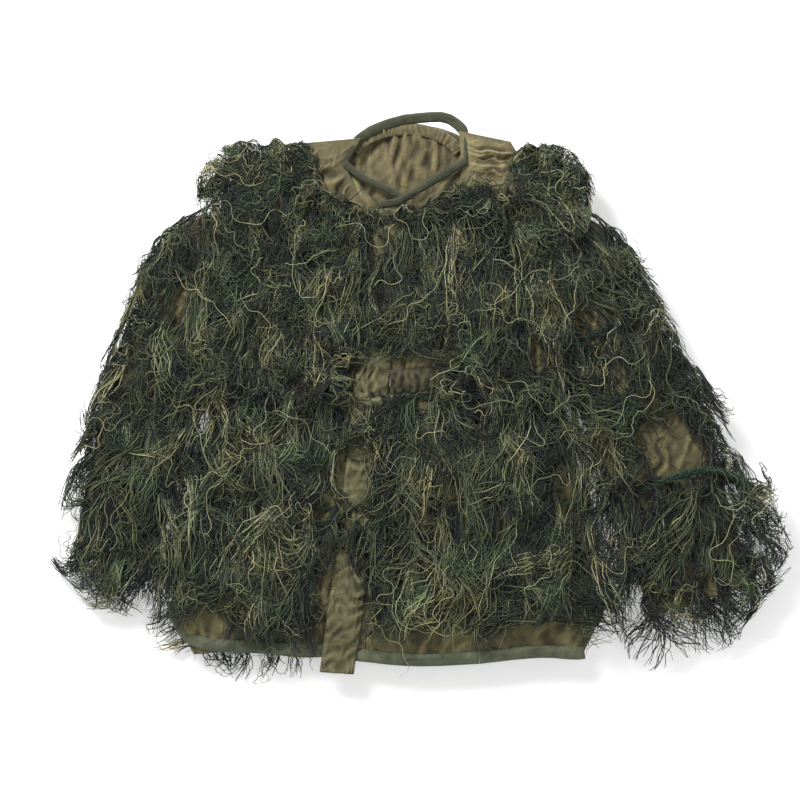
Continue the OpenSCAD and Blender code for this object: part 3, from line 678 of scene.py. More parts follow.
def bare_places():
    """Places that the yarn leaves bare: centre, half width and half height in metres, tilt in degrees."""
    left, right = ARMS["left"], ARMS["right"]
    upper_placket_y = WAIST_ROW_Y - 106 * MM
    lower_placket_y = SKIRT_ROW_Y - 160 * MM
    gap_y = WAIST_Y + 40 * MM
    gap_x = low_high("right_waist_casing")[1][0] - 24 * MM
    hem_x = (FOLD_X + right_edge(HEM_Y)) / 2 + 14 * MM
    return [
        ((placket_x(WAIST_Y) + 56 * MM, WAIST_Y + 3 * MM), 66 * MM, 25 * MM, 2),
        ((placket_x(upper_placket_y) + 13 * MM, upper_placket_y), 24 * MM, 42 * MM, -8),
        ((placket_x(lower_placket_y) + 22 * MM, lower_placket_y), 34 * MM, 88 * MM, -6),
        ((gap_x, gap_y), 11 * MM, 24 * MM, 12),
        ((hem_x, HEM_Y + 26 * MM), 78 * MM, 19 * MM, 2),
        ((left_edge(HEM_Y) + 22 * MM, HEM_Y + 44 * MM), 30 * MM, 19 * MM, -35),
        (tuple(left.fore(0.0, 0.66 * left.elbow_half)), 16 * MM, 7 * MM, 24),
        (tuple(left.fore(-0.004, 1.28 * left.elbow_half)), 10 * MM, 19 * MM, 10),
        (tuple(right.upper(0.40 * right.upper_len, -0.06 * right.head_half)), 26 * MM, 21 * MM, 0),
        (tuple(right.upper(0.88 * right.upper_len, -0.95 * right.elbow_half)), 12 * MM, 27 * MM, 5),
        (tuple(right.fore(0.18 * right.fore_len, -0.86 * right.elbow_half)), 10 * MM, 34 * MM, 8),
        (tuple(right.fore(0.22 * right.fore_len, 0.22 * right.elbow_half)), 41 * MM, 40 * MM, 14),
        (tuple(right.fore(0.29 * right.fore_len, 0.30 * right.elbow_half)), 47 * MM, 20 * MM, 22),
    ]


BARE = bare_places()
# How far past a bare place the yarn is still combed aside, and how square the bare places are
PARTING = 1.35
BOXY = 3.4


def yarn_top(x):
    """The height that the yarn of the fronts stays under, so that the neck and the yokes lie bare."""
    places = [(-1.50, 90), (-1.31, 21), (-0.68, -3), (-0.20, -6), (0.24, -2), (0.49, 11), (0.90, 29),
              (1.08, 46),
              (1.30, 40), (1.60, 30), (1.82, 90)]
    xs = [NECK_CX + NECK_HALF * a for a, _ in places]
    return NECK_BOTTOM_Y + np.interp(x, xs, [b * MM for _, b in places])


def part_yarn(xy):
    """Combs strands aside at the bare places. Also gives the share of each strand that lay in one."""
    inside = np.zeros(xy.shape[:-1], bool)
    ragged = 0.95 + 0.24 * waves(xy[..., 0], xy[..., 1], 24 * MM, 17) + 0.15 * waves(xy[..., 0], xy[..., 1],
                                                                                     9 * MM, 18)
    moved = xy.copy()
    limit = yarn_top(xy[..., 0]) + 5 * MM * waves(xy[..., 0], xy[..., 1], 22 * MM, 19)
    over = (xy[..., 1] > limit) & (xy[..., 1] < limit + 100 * MM)
    moved[..., 1] = np.where(over, limit + 0.08 * (xy[..., 1] - limit), xy[..., 1])
    inside |= over & (xy[..., 1] > limit + 22 * MM)
    for (cx, cy), rx, ry, tilt in BARE:
        c, s = math.cos(math.radians(tilt)), math.sin(math.radians(tilt))
        dx, dy = xy[..., 0] - cx, xy[..., 1] - cy
        a, b = (dx * c + dy * s) / rx, (-dx * s + dy * c) / ry
        far = (np.abs(a) ** BOXY + np.abs(b) ** BOXY) ** (1 / BOXY) + 1e-6
        hit = far < ragged
        inside |= hit
        near = far < PARTING * ragged
        grow = np.where(near, ragged * (1 + 0.35 * (far / (PARTING * ragged)) ** 2) / far, 1.0)
        grow = np.minimum(grow, 40)
        a, b = a * grow * rx, b * grow * ry
        moved[..., 0] = np.where(near, cx + a * c - b * s, moved[..., 0])
        moved[..., 1] = np.where(near, cy + a * s + b * c, moved[..., 1])
    return moved, inside.mean(-1)


def row(a, b, heading, length, spread=15, z=None, end_z=None, lift=22 * MM, curl=1.0, fan=0.0, tone=0.0,
        dense=1.0, plain=False, mats=1.0):
    """One row of tufts from a to b (2D): heading in degrees, with fan added from one end to the other."""
    return dict(a=np.asarray(a, float), b=np.asarray(b, float), heading=heading, length=length, spread=spread,
                z=z, end_z=end_z, lift=lift, curl=curl, fan=fan, tone=tone,
                dense=dense, plain=plain, mats=mats)


def swing(rng, n, s, low, high, turns):
    """Smooth wavering of an angle along a strand: two sines of random size, place and pace."""
    total = 0
    for size, pace in ((1.0, 1.0), (0.6, 2.1)):
        a = rng.uniform(low, high, n)[:, None] * size
        f = turns * pace * rng.uniform(0.7, 1.3, n)[:, None]
        total = total + a * np.sin(2 * math.pi * (f * s + rng.uniform(0, 1, n)[:, None]))
    return total


def strand_paths(start, angle, length):
    """2D paths that leave start and follow the angles with a given total length."""
    points = angle.shape[1]
    step = (length / (points - 1))[:, None, None]
    move = np.stack([np.cos(angle), np.sin(angle)], -1) * step
    return np.concatenate([start[:, None], start[:, None] + np.cumsum(move[:, :-1], 1)], 1)


def heights(r, rng, xy, s, lift):
    """Heights of strands over the cloth: up from the root, over soft lumps, and down at the end of a row."""
    n = len(lift)
    lumps = 0.70 + 0.30 * waves(xy[..., 0], xy[..., 1], 55 * MM, 11)
    z = r["z"] + 2 * MM + lift[:, None] * lumps * smoothstep(s / 0.3)
    z = z + rng.uniform(0.4, 1.8, n)[:, None] * MM * np.sin(
        2 * math.pi * (rng.uniform(1, 3, n)[:, None] * s + rng.uniform(0, 1, n)[:, None]))
    if r["end_z"] is not None:
        down = r["end_z"] + rng.uniform(0, 12, n)[:, None] * MM
        fall = smoothstep((s - 0.35) / 0.6)
        z = z * (1 - fall) + np.minimum(z, down) * fall
    return np.clip(z, 1.2 * MM, TOP_Z + 3 * MM)


def grow_row(r, rng, each, frizz, wisps, radius, pitch):
    """The strands of one row as (paths, radii, tones) groups: tufts of long yarn, matted curls, and wisps."""
    span = np.linalg.norm(r["b"] - r["a"])
    tufts = max(3, int(span / pitch * r["dense"]))
    share = (np.arange(tufts) + 0.5) / tufts + rng.normal(0, 0.25 / tufts, tufts)
    across = (r["b"] - r["a"]) / max(span, 1e-6)
    up = np.array([-across[1], across[0]])
    root = r["a"] + np.outer(share, r["b"] - r["a"]) + np.outer(rng.normal(0, 6 * MM, tufts), up)
    lock_heading = r["heading"] + r["fan"] * (share - 0.5) + rng.normal(0, r["spread"], tufts)
    lock_bend = rng.normal(0, 0.75, tufts) * r["curl"]
    lock_lift = rng.uniform(0.05, 1.0, tufts)
    lock_tone = rng.normal(0, 0.45, tufts)
    lock_wave = swing(rng, tufts, np.linspace(0, 1, 12)[None], 0.1, 0.4, 0.9) * r["curl"]
    groups = []

    def spine(t, s):
        """The turn of each tuft's own line at places s."""
        at = np.clip(s * 11, 0, 10.999)
        low = at.astype(int)
        return lock_wave[t[:, None], low] * (1 - at + low) + lock_wave[t[:, None], low + 1] * (at - low)

    # Long yarn that lies together
    m = 8 if r["plain"] else 10
    t = np.repeat(np.arange(tufts), each)
    n = len(t)
    s = np.linspace(0, 1, m)[None] * np.ones((n, 1))
    length = r["length"] * rng.uniform(0.65, 1.12, n)
    angle = np.radians(lock_heading[t] + rng.normal(0, 4, n))[:, None] + (
        lock_bend[t] + rng.normal(0, 0.2, n))[:, None] * s ** 1.4 + spine(t, s)
    angle = angle + swing(rng, n, s, 0.05, 0.34, 1.8) * r["curl"] * smoothstep(s * 3)
    xy = strand_paths(root[t] + rng.normal(0, 3.0 * MM, (n, 2)), angle, length)
    splay = rng.normal(0, 5 * MM, n)[:, None] * smoothstep(s * 1.2)
    xy = xy + np.stack([-np.sin(angle[:, 0]), np.cos(angle[:, 0])], -1)[:, None] * splay[..., None]
    part = 0.62 * lock_lift[t] + 0.38 * rng.random(n)
    z = heights(r, rng, xy, s, r["lift"] * (0.08 + 0.85 * part))
    rad = radius * rng.uniform(0.75, 1.2, n)[:, None] * (1 - 0.4 * smoothstep((s - 0.75) / 0.25))
    # Lower strands get a darker tone and higher ones a lighter one: painted shade under the yarn over them
    tone = 1.3 * lock_tone[t] + rng.normal(0, 0.5, n) + 2.0 * (part - 0.45) + r["tone"]
    groups.append((np.concatenate([xy, z[..., None]], -1), rad, tone))
    if r["plain"]:
        return groups

    # Matted curls that lie over it, several together
    m = 18
    mats = max(1, int(tufts * frizz * r["mats"] / 5))
    t = np.repeat(rng.integers(0, tufts, mats), 5)
    n = len(t)
    s = np.linspace(0, 1, m)[None] * np.ones((n, 1))
    mat = np.repeat(np.arange(mats), 5)
    heading = np.radians(lock_heading[t] + rng.normal(0, 55, mats)[mat] + rng.normal(0, 14, n))
    turn = (rng.choice([-1, 1], mats) * rng.uniform(0.5, 8.0, mats))[mat] + rng.normal(0, 0.8, n)
    shared = swing(rng, mats, s[:1], 0.3, 1.3, 1.4)[mat]
    angle = heading[:, None] + turn[:, None] * s + shared + swing(rng, n, s, 0.1, 0.75, 3.0)
    drop = rng.uniform(0.0, 0.8, mats)[mat] * r["length"]
    fall = np.radians(lock_heading[t] + np.degrees(lock_bend[t]) * 0.4)
    start = root[t] + drop[:, None] * np.stack([np.cos(fall), np.sin(fall)], -1) + rng.normal(0, 5 * MM,
                                                                                              (n, 2))
    length = rng.uniform(45, 105, n) * MM * min(1.0, 0.35 + r["length"] / (150 * MM))
    xy = strand_paths(start, angle, length)
    part = np.clip(0.45 + 0.3 * rng.random(mats)[mat] + 0.3 * rng.random(n), 0, 1.05)
    place = 0.25 + 0.75 * s
    if r["end_z"] is not None:
        place = np.clip(s * 0.5 + (drop / r["length"])[:, None] * 0.6, 0, 1)
    z = heights(r, rng, xy, place, r["lift"] * part)
    rad = radius * 0.86 * rng.uniform(0.75, 1.2, n)[:, None] * (1 - 0.3 * smoothstep((s - 0.8) / 0.2))
    # Lower curls get a darker tone and higher ones a lighter one: painted shade under the yarn over them
    tone = 0.5 * rng.normal(0, 1, mats)[mat] + rng.normal(0, 0.5, n) + 1.5 * (part - 0.6) + r["tone"]
    groups.append((np.concatenate([xy, z[..., None]], -1), rad, tone))

    # A few long pale wisps on top
    n = max(1, int(tufts * wisps))
    m = 22
    t = rng.integers(0, tufts, n)
    s = np.linspace(0, 1, m)[None] * np.ones((n, 1))
    angle = np.radians(lock_heading[t] + rng.normal(0, 50, n))[:, None] + rng.normal(0, 2.2, n)[:, None] * s
    angle = angle + swing(rng, n, s, 0.3, 1.1, 1.5)
    fall = np.radians(lock_heading[t])
    start = root[t] + (rng.uniform(0, 0.7, n) * r["length"])[:, None] * np.stack([np.cos(fall), np.sin(fall)],
                                                                                 -1)
    xy = strand_paths(start, angle, rng.uniform(80, 150, n) * MM)
    z = heights(r, rng, xy, 0.3 + 0.7 * s, r["lift"] * rng.uniform(0.9, 1.15, n))
    rad = radius * 0.68 * rng.uniform(0.8, 1.2, n)[:, None] * (1 - 0.3 * smoothstep((s - 0.8) / 0.2))
    groups.append((np.concatenate([xy, z[..., None]], -1), rad, 2.2 + rng.normal(0, 0.7, n)))
    return groups


def squeeze_box(x0, x1, y0, y1, give=0.3):
    """Draws strands that stray outside a rectangle back towards it."""
    def squeeze(xy):
        x, y = xy[..., 0], xy[..., 1]
        x = np.where(x < x0, x0 + (x - x0) * give, np.where(x > x1, x1 + (x - x1) * give, x))
        y = np.where(y < y0, y0 + (y - y0) * give, np.where(y > y1, y1 + (y - y1) * give, y))
        return np.stack([x, y], -1)
    return squeeze


def squeeze_round(cx, cy, rx, ry, give=0.25, power=2.6):
    """Draws strands that stray outside a rounded rectangle back towards it."""
    def squeeze(xy):
        a, b = (xy[..., 0] - cx) / rx, (xy[..., 1] - cy) / ry
        far = (np.abs(a) ** power + np.abs(b) ** power) ** (1 / power) + 1e-9
        keep = np.where(far > 1, (1 + (far - 1) * give) / far, 1.0)
        return np.stack([cx + a * keep * rx, cy + b * keep * ry], -1)
    return squeeze


def squeeze_arm(arm, part, inner, outer, end=None, give=0.3):
    """Draws strands that stray from a sleeve back: inner and outer are the room at its start and its end."""
    turn = arm.upper_dir if part == "upper" else arm.fore_dir
    origin = arm.head if part == "upper" else arm.elbow
    long = arm.upper_len if part == "upper" else arm.fore_len
    halves = (arm.head_half, arm.elbow_half) if part == "upper" else (arm.elbow_half, arm.cuff_half)
    along, side = unit(turn), unit(turn + 90)
    plus, minus = (inner, outer) if arm.side == "left" else (outer, inner)
    sign = -1 if arm.side == "left" else 1

    def squeeze(xy):
        d = xy - origin
        u, v = d @ along, d @ side
        f = np.clip(u / long, 0, 1.25)
        g = smoothstep((f - 0.2) / 0.35) if part == "fore" else f
        half = halves[0] * (1 - f) + halves[1] * f
        top = half + plus[0] * (1 - g) + plus[1] * g
        low = half + minus[0] * (1 - g) + minus[1] * g
        v = np.where(v > top, top + (v - top) * give, np.where(v < -low, -low + (v + low) * give, v))
        if part == "upper":
            far = np.hypot(u, v) + 1e-9
            room = 0.84 * arm.head_half
            pull = np.where((u < 0) & (far > room), (room + (far - room) * give) / far, 1.0)
            blend = smoothstep(-u / (30 * MM))
            pull = 1 - (1 - pull) * blend
            u, v = u * pull, v * pull
        if end is not None:
            limit = end - 0.9 * np.maximum(sign * v - 20 * MM, 0)
            u = np.where(u > limit, limit + (u - limit) * give, u)
        return origin + u[..., None] * along + v[..., None] * side
    return squeeze


def yarn_piece(name, body, rows, seed, nodes=(), squeeze=None, keep_bare=True, combed=False):
    """A mass of yarn in rows, made with the user's settings. Combed yarn has long locks and few curls."""
    yarn = yarn_settings()
    rng = np.random.default_rng(seed)
    tubes = Tubes()
    for r in rows:
        r["length"] *= yarn.length
        if combed:
            r.update(mats=0.42 * r["mats"], spread=r["spread"] * 1.4, curl=r["curl"] * 1.25)
        each = max(2, round(yarn.strands * (1.7 if combed else 1.2)))
        for paths, rad, tone in grow_row(r, rng, each, yarn.curls, yarn.wisps, yarn.thickness, yarn.pitch):
            if squeeze is not None:
                paths[..., :2] = squeeze(paths[..., :2])
            if keep_bare:
                moved, share_in = part_yarn(paths[..., :2])
                keep = share_in < rng.uniform(0.15, 0.45, len(paths))
                across = (rng.random(len(paths)) < 0.09) & (share_in > 0)
                paths[..., :2] = np.where(across[:, None, None], paths[..., :2], moved)
                paths, rad, tone = paths[keep], rad[keep], tone[keep]
            if len(paths):
                tubes.add(paths, rad, tone)
    obj = tubes.build(name, MATERIALS["yarn"], body)
    if nodes:
        stands_for(obj, "yarn", *nodes)
    return obj


# ---------------------------------------------------------------- ends of the rows on the fronts

def on_left(y, out_dy=0.0, in_dy=0.0, out=0.0, short=6 * MM):
    """The two ends of a row on the left front: from its side edge to the placket."""
    return ((left_edge(y) - out, y + out_dy), (placket_x(y) - short, y + in_dy))


def on_flap(y, in_dy=0.0, start=8 * MM):
    """The two ends of a row on the front flap: from the placket to the fold line."""
    return ((placket_x(y) + PLACKET_W + start, y + in_dy), (FOLD_X, y))


def on_right(y, out_dy=0.0, out=0.0):
    """The two ends of a row on the right front: from the fold line to its side edge."""
    return ((FOLD_X, y), (right_edge(y) + out, y + out_dy))


# ---------------------------------------------------------------- cloth heights

def gathers(x, y):
    """Puckers at the waist elastic, and the longer folds that run up and down from it."""
    away = np.abs(y - WAIST_Y)
    bunch = np.exp(-(away / (30 * MM)) ** 2)
    wander = x + 5 * MM * waves(x, y, 55 * MM, 21)
    small = 1.6 * MM * bunch * np.sin(2 * math.pi * wander / (11 * MM))
    long = 8.0 * MM * np.exp(-away / (80 * MM)) * creases(x, y, 22 * MM, 23, 84)
    return small + long


def front_height(base, outer, seed):
    """Height of one front: its folds, the waist gathers, and its roll down to the back at the side seam."""
    def height(x, y, s, t):
        z = base + 7.0 * MM * creases(x, y, 40 * MM, seed, 76) + 1.3 * MM * waves(x, y, 120 * MM, seed + 9)
        z = z + 3.0 * MM * creases(x, y, 24 * MM, seed + 4, 110) + gathers(x, y) - 4.2 * MM
        edge = s if outer == "left" else 1 - s
        z = z - (base - BACK_Z - 1.5 * MM) * (1 - smoothstep(edge / 0.07)) ** 2
        z = z - 7 * MM * np.exp(-((y - HEM_Y) / (38 * MM)) ** 2)
        under_elastic = base - 2.2 * MM + 25 * MM * smoothstep((np.abs(y - WAIST_Y) - 14 * MM) / (22 * MM))
        return np.maximum(np.minimum(z, under_elastic), BACK_Z + 1.6 * MM)
    return height


def back_height(x, y, s, t):
    """Height of the back, with pleats that fan down from the gathered neck."""
    z = BACK_Z + 1.2 * MM * waves(x, y, 110 * MM, 31) + 1.5 * MM * creases(x, y, 70 * MM, 33, 88)
    dx = x - NECK_CX
    fan = dx / (1 + 0.55 * (NECK_HIGH[1] - y) / NECK_HALF) + 5 * MM * waves(x, y, 70 * MM, 37)
    away = NECK_HIGH[1] - 38 * MM - 18 * MM * (dx / NECK_HALF) ** 2 - y
    near = (np.abs(dx) < NECK_HALF * 1.05) & (y > CHEST_Y - 30 * MM)
    drop = np.exp(-np.abs(away) / (60 * MM)) * near
    pleat = np.abs(np.sin(math.pi * fan / (14 * MM))) ** 0.55
    deep = 0.55 + 0.45 * waves(x, y * 0.2, 45 * MM, 38, 5)
    z = z + 12.0 * MM * drop * (1 - pleat) * deep + 1.5 * MM * drop
    valley = np.abs(np.sin(math.pi * (fan + 6 * MM) / (23 * MM) + 0.5 * waves(x, y, 60 * MM, 35))) ** 0.8
    z = z - 5.0 * MM * drop * (1 - valley)
    z = z + 7.5 * MM * creases(x, y, 26 * MM, 39, 98) * near
    return np.clip(z, 20.4 * MM, BACK_Z + 12.5 * MM)


def sleeve_height(base, arm, part, seed, under=False):
    """Height of one sleeve cloth: creases across the elbow and a roll down to the seam at each side."""
    def height(x, y, s, t):
        edge = np.minimum(s, 1 - s)
        roll = (1 - smoothstep(edge / 0.16)) ** 2
        turn = arm.upper_dir if part == "upper" else arm.fore_dir
        lean = 12 if arm.side == "left" else -20
        z = 8.0 * MM * creases(x, y, 22 * MM, seed, turn + lean) + 1.2 * MM * creases(x, y, 18 * MM, seed + 7,
                                                                                      turn + 50)
        z = z - 2.0 * MM + 1.0 * MM * waves(x, y, 60 * MM, seed + 3)
        if under:
            return np.clip(base + 0.4 * z, base - 0.8 * MM, base + 1.2 * MM)
        return np.maximum(base + z - (base - BACK_Z - 2.2 * MM) * roll - 1.0 * MM, BACK_Z + 1.0 * MM)
    return height


DECLARED = []


def stands_for(obj, slot, *nodes):
    """Hides the parts of the frame that a piece is made in place of; the slot, what it is made of, is not
    used.
    """
    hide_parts(*nodes)


def declare(obj, area, with_pieces=()):
    """Keeps a sheet with its cut size and the names of the pieces that are sewn to it."""
    co = coordinates(obj)
    wide, long = np.ptp(co[:, 0]) * 1.04, np.ptp(co[:, 1]) * 1.04
    if area < 0.5 * wide * long:
        wide = area * 1.08 / long
    DECLARED.append((obj, (wide, long), min(area * 1.04, wide * long), list(with_pieces)))


# ---------------------------------------------------------------- the settings a user can change

class GhillieYarnSettings(bpy.types.PropertyGroup):
    """Sizes of the loose yarn."""
    thickness: bpy.props.FloatProperty(
        name="Yarn thickness", description="Radius of one strand of yarn", default=0.00066, min=0.0003,
        max=0.003, precision=5, unit="LENGTH", subtype="DISTANCE")
    strands: bpy.props.IntProperty(
        name="Strands in a tuft", description="How many long strands are knotted in at one place", default=10,
        min=2, max=40)
    curls: bpy.props.FloatProperty(
        name="Curls at a tuft", description="How many matted curls lie over one tuft", default=6.0, min=0.0,
        max=30.0)
    wisps: bpy.props.FloatProperty(
        name="Wisps at a tuft", description="How many long pale wisps lie over one tuft", default=0.13,
        min=0.0, max=5.0)
    pitch: bpy.props.FloatProperty(
        name="Tuft spacing", description="Distance between two tufts along a row", default=0.0095, min=0.003,
        max=0.05, precision=4, unit="LENGTH", subtype="DISTANCE")
    length: bpy.props.FloatProperty(
        name="Yarn length", description="Length of the yarn as a share of its usual length", default=1.0,
        min=0.4, max=1.3, subtype="FACTOR")


class GhillieClothSettings(bpy.types.PropertyGroup):
    """Sizes of the cloth and its tapes."""
    shell_thickness: bpy.props.FloatProperty(
        name="Cloth thickness", description="Thickness of the shell cloth", default=0.0009, min=0.0003,
        max=0.003, precision=4, unit="LENGTH", subtype="DISTANCE")
    binding_width: bpy.props.FloatProperty(
        name="Binding width", description="Width of the folded green binding", default=BINDING_W, min=0.005,
        max=0.03, precision=4, unit="LENGTH", subtype="DISTANCE")
    stitch_length: bpy.props.FloatProperty(
        name="Stitch length", description="Length of one stitch of the seams", default=0.003, min=0.001,
        max=0.01, precision=4, unit="LENGTH", subtype="DISTANCE")
    shell_colour: bpy.props.FloatVectorProperty(
        name="Shell colour", description="Middle colour of the tan shell cloth",
        default=linear(108, 102, 70), size=3, min=0.0, max=1.0, subtype="COLOR")
    binding_colour: bpy.props.FloatVectorProperty(
        name="Binding colour", description="Middle colour of the green binding",
        default=linear(61, 64, 46), size=3, min=0.0, max=1.0, subtype="COLOR")


def yarn_settings():
    return bpy.context.scene.ghillie_yarn


def cloth_settings():
    return bpy.context.scene.ghillie_cloth


# ---------------------------------------------------------------- operators

class GHILLIE_OT_shell(bpy.types.Operator):
    """Lays the back, the two fronts, the yokes and the neck facing"""
    bl_idname = "ghillie.shell"
    bl_label = "Shell cloth"

    def execute(self, context):
        thick = cloth_settings().shell_thickness
        shell = MATERIALS["shell"]
        top = SHOULDER_Y
        rise = NECK_HIGH[1] - BINDING_W - 6 * MM - top

        def arch(x, y, s, t):
            up = smoothstep((y - CHEST_Y) / (top - CHEST_Y))
            inside = np.clip(1 - ((x - NECK_CX - 6 * MM) / (NECK_HALF - 2 * MM)) ** 2, 0, 1) ** 0.6
            flank = 16 * MM * np.clip((SHOULDER_HALF - np.abs(x - NECK_CX)) / (SHOULDER_HALF - NECK_HALF), 0,
                                      1)
            return np.stack([np.zeros_like(x), up * (flank + (rise - 16 * MM) * inside)], -1)

        ys = [HEM_Y, HEM_Y + HEM_LIFT, WAIST_Y, CHEST_Y, top]
        left = [(left_edge(y) + 3 * MM, y) for y in ys]
        right = [(right_edge(y) - 3 * MM, y) for y in ys]
        back, area = cloth("back_shell", left, right, 110, 120, back_height, MATERIALS["lining"], thick,
                           shape=arch)
        stands_for(back, "shell_cloth", "back_panel")
        declare(back, area, ["back_neck_binding_tape", "back_hem_tape", "back_chest_yarn", "back_waist_yarn",
                             "back_skirt_yarn"])

        def hang(x, y, s, t):
            low = np.exp(-((y - HEM_Y) / (60 * MM)) ** 2)
            return np.stack([np.zeros_like(x), -5 * MM * low * (0.5 + 0.5 * waves(x, y * 0, 130 * MM, 41))],
                            -1)

        neck_left = NECK_CX - NECK_HALF
        neck_right = NECK_CX + NECK_HALF
        ys = [HEM_Y, HEM_Y + HEM_LIFT, WAIST_Y, CHEST_Y]
        left = [(left_edge(y), y) for y in ys] + [(left_edge(SHOULDER_Y - 30 * MM), SHOULDER_Y - 30 * MM),
                                                  (left_edge(SHOULDER_Y), SHOULDER_Y)]
        right = [(placket_x(y) + 10 * MM, y) for y in ys] + [(neck_left, NECK_SIDE_Y),
                                                            (neck_left - 2 * MM, NECK_SIDE_Y + 30 * MM)]
        front, area = cloth("left_front_shell", left, right, 70, 130, front_height(LEFT_Z, "left", 51), shell,
                            thick, shape=hang)
        stands_for(front, "shell_cloth", "left_front_panel")
        declare(front, area, ["left_hem_tape", "left_neck_tape", "left_chest_yarn", "left_waist_yarn",
                              "left_skirt_yarn", "left_shoulder_yarn", "torso_knots"])

        left = [(placket_x(y) + PLACKET_W - 5 * MM, y) for y in ys] + [
            (neck_right, NECK_SIDE_Y), (neck_right + 2 * MM, NECK_SIDE_Y + 32 * MM)]
        right = [(right_edge(y), y) for y in ys] + [(right_edge(SHOULDER_Y - 30 * MM), SHOULDER_Y - 30 * MM),
                                                    (right_edge(SHOULDER_Y), SHOULDER_Y)]
        front, area = cloth("right_front_shell", left, right, 90, 130, front_height(FLAP_Z, "right", 61),
                            shell,
                            thick, body=None, shape=hang)
        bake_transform(front)
        stands_for(front, "shell_cloth", "right_front_panel", "flap_panel")
        declare(front, area, ["right_hem_tape", "flap_neck_tape", "flap_chest_yarn", "flap_waist_yarn",
                              "flap_skirt_yarn", "right_chest_yarn", "right_waist_yarn", "right_skirt_yarn",
                              "right_shoulder_yarn", "flap_knots"])

        def yoke_height(base, seed, lean):
            def height(x, y, s, t):
                edge = np.minimum(np.minimum(s, 1 - s) * 4, np.minimum(t, 1 - t) * 4)
                fold = 12.0 * MM * creases(x, y, 24 * MM, seed,
                                           lean) + 4.0 * MM * creases(x, y, 13 * MM, seed + 3, lean + 20)
                return base + 1.6 * MM * smoothstep(edge) + fold * smoothstep(edge * 0.6)
            return height

        low, high = low_high("left_shoulder_yoke")
        yoke, area = cloth(
            "left_yoke", [(low[0] + 24 * MM, low[1] - 2 * MM), (low[0] + 22 * MM, NECK_SIDE_Y),
                          (low[0] + 28 * MM, high[1] + 9 * MM)],
            [(high[0] + 4 * MM, low[1] - 8 * MM), (neck_left + 2 * MM, NECK_SIDE_Y),
             (neck_left + 24 * MM, high[1] + 16 * MM)], 64, 70, yoke_height(LEFT_Z + 1.2 * MM, 67, 62),
            MATERIALS["lining"], thick)
        stands_for(yoke, "shell_cloth", "left_shoulder_yoke")
        declare(yoke, area)
        low, high = low_high("right_shoulder_yoke")
        yoke, area = cloth(
            "right_yoke", [(neck_right - 8 * MM, low[1] + 18 * MM), (neck_right - 4 * MM, NECK_SIDE_Y),
                           (neck_right - 8 * MM, high[1] + 27 * MM)],
            [(high[0] + 8 * MM, low[1] + 18 * MM), (high[0] + 2 * MM, NECK_SIDE_Y - 4 * MM),
             (high[0] - 20 * MM, high[1] + 12 * MM)], 64, 64, yoke_height(FLAP_Z + 0.4 * MM, 69, -20),
            MATERIALS["yoke"], thick)
        stands_for(yoke, "shell_cloth", "right_shoulder_yoke")
        declare(yoke, area)

        angles = np.radians(np.linspace(158, 22, 40))
        low, high = low_high("back_neck_facing")
        rx, ry = (high[0] - low[0]) / 2 + 1 * MM, high[1] - NECK_SIDE_Y - 13 * MM
        path = np.column_stack([NECK_CX + 3 * MM + rx * np.cos(angles),
                                NECK_SIDE_Y + 2 * MM + ry * np.sin(angles),
                                np.full(40, high[2] + 5.5 * MM)])
        facing = tape("neck_facing", path, 17 * MM, MATERIALS["lining"], across=10, step=2 * MM,
                      pucker=0.9 * MM, pitch=7.5 * MM, thick=thick, crown=1.0 * MM)
        stands_for(facing, "shell_cloth", "back_neck_facing")
        declare(facing, sum(p.area for p in facing.data.polygons) / 2)
        return {"FINISHED"}


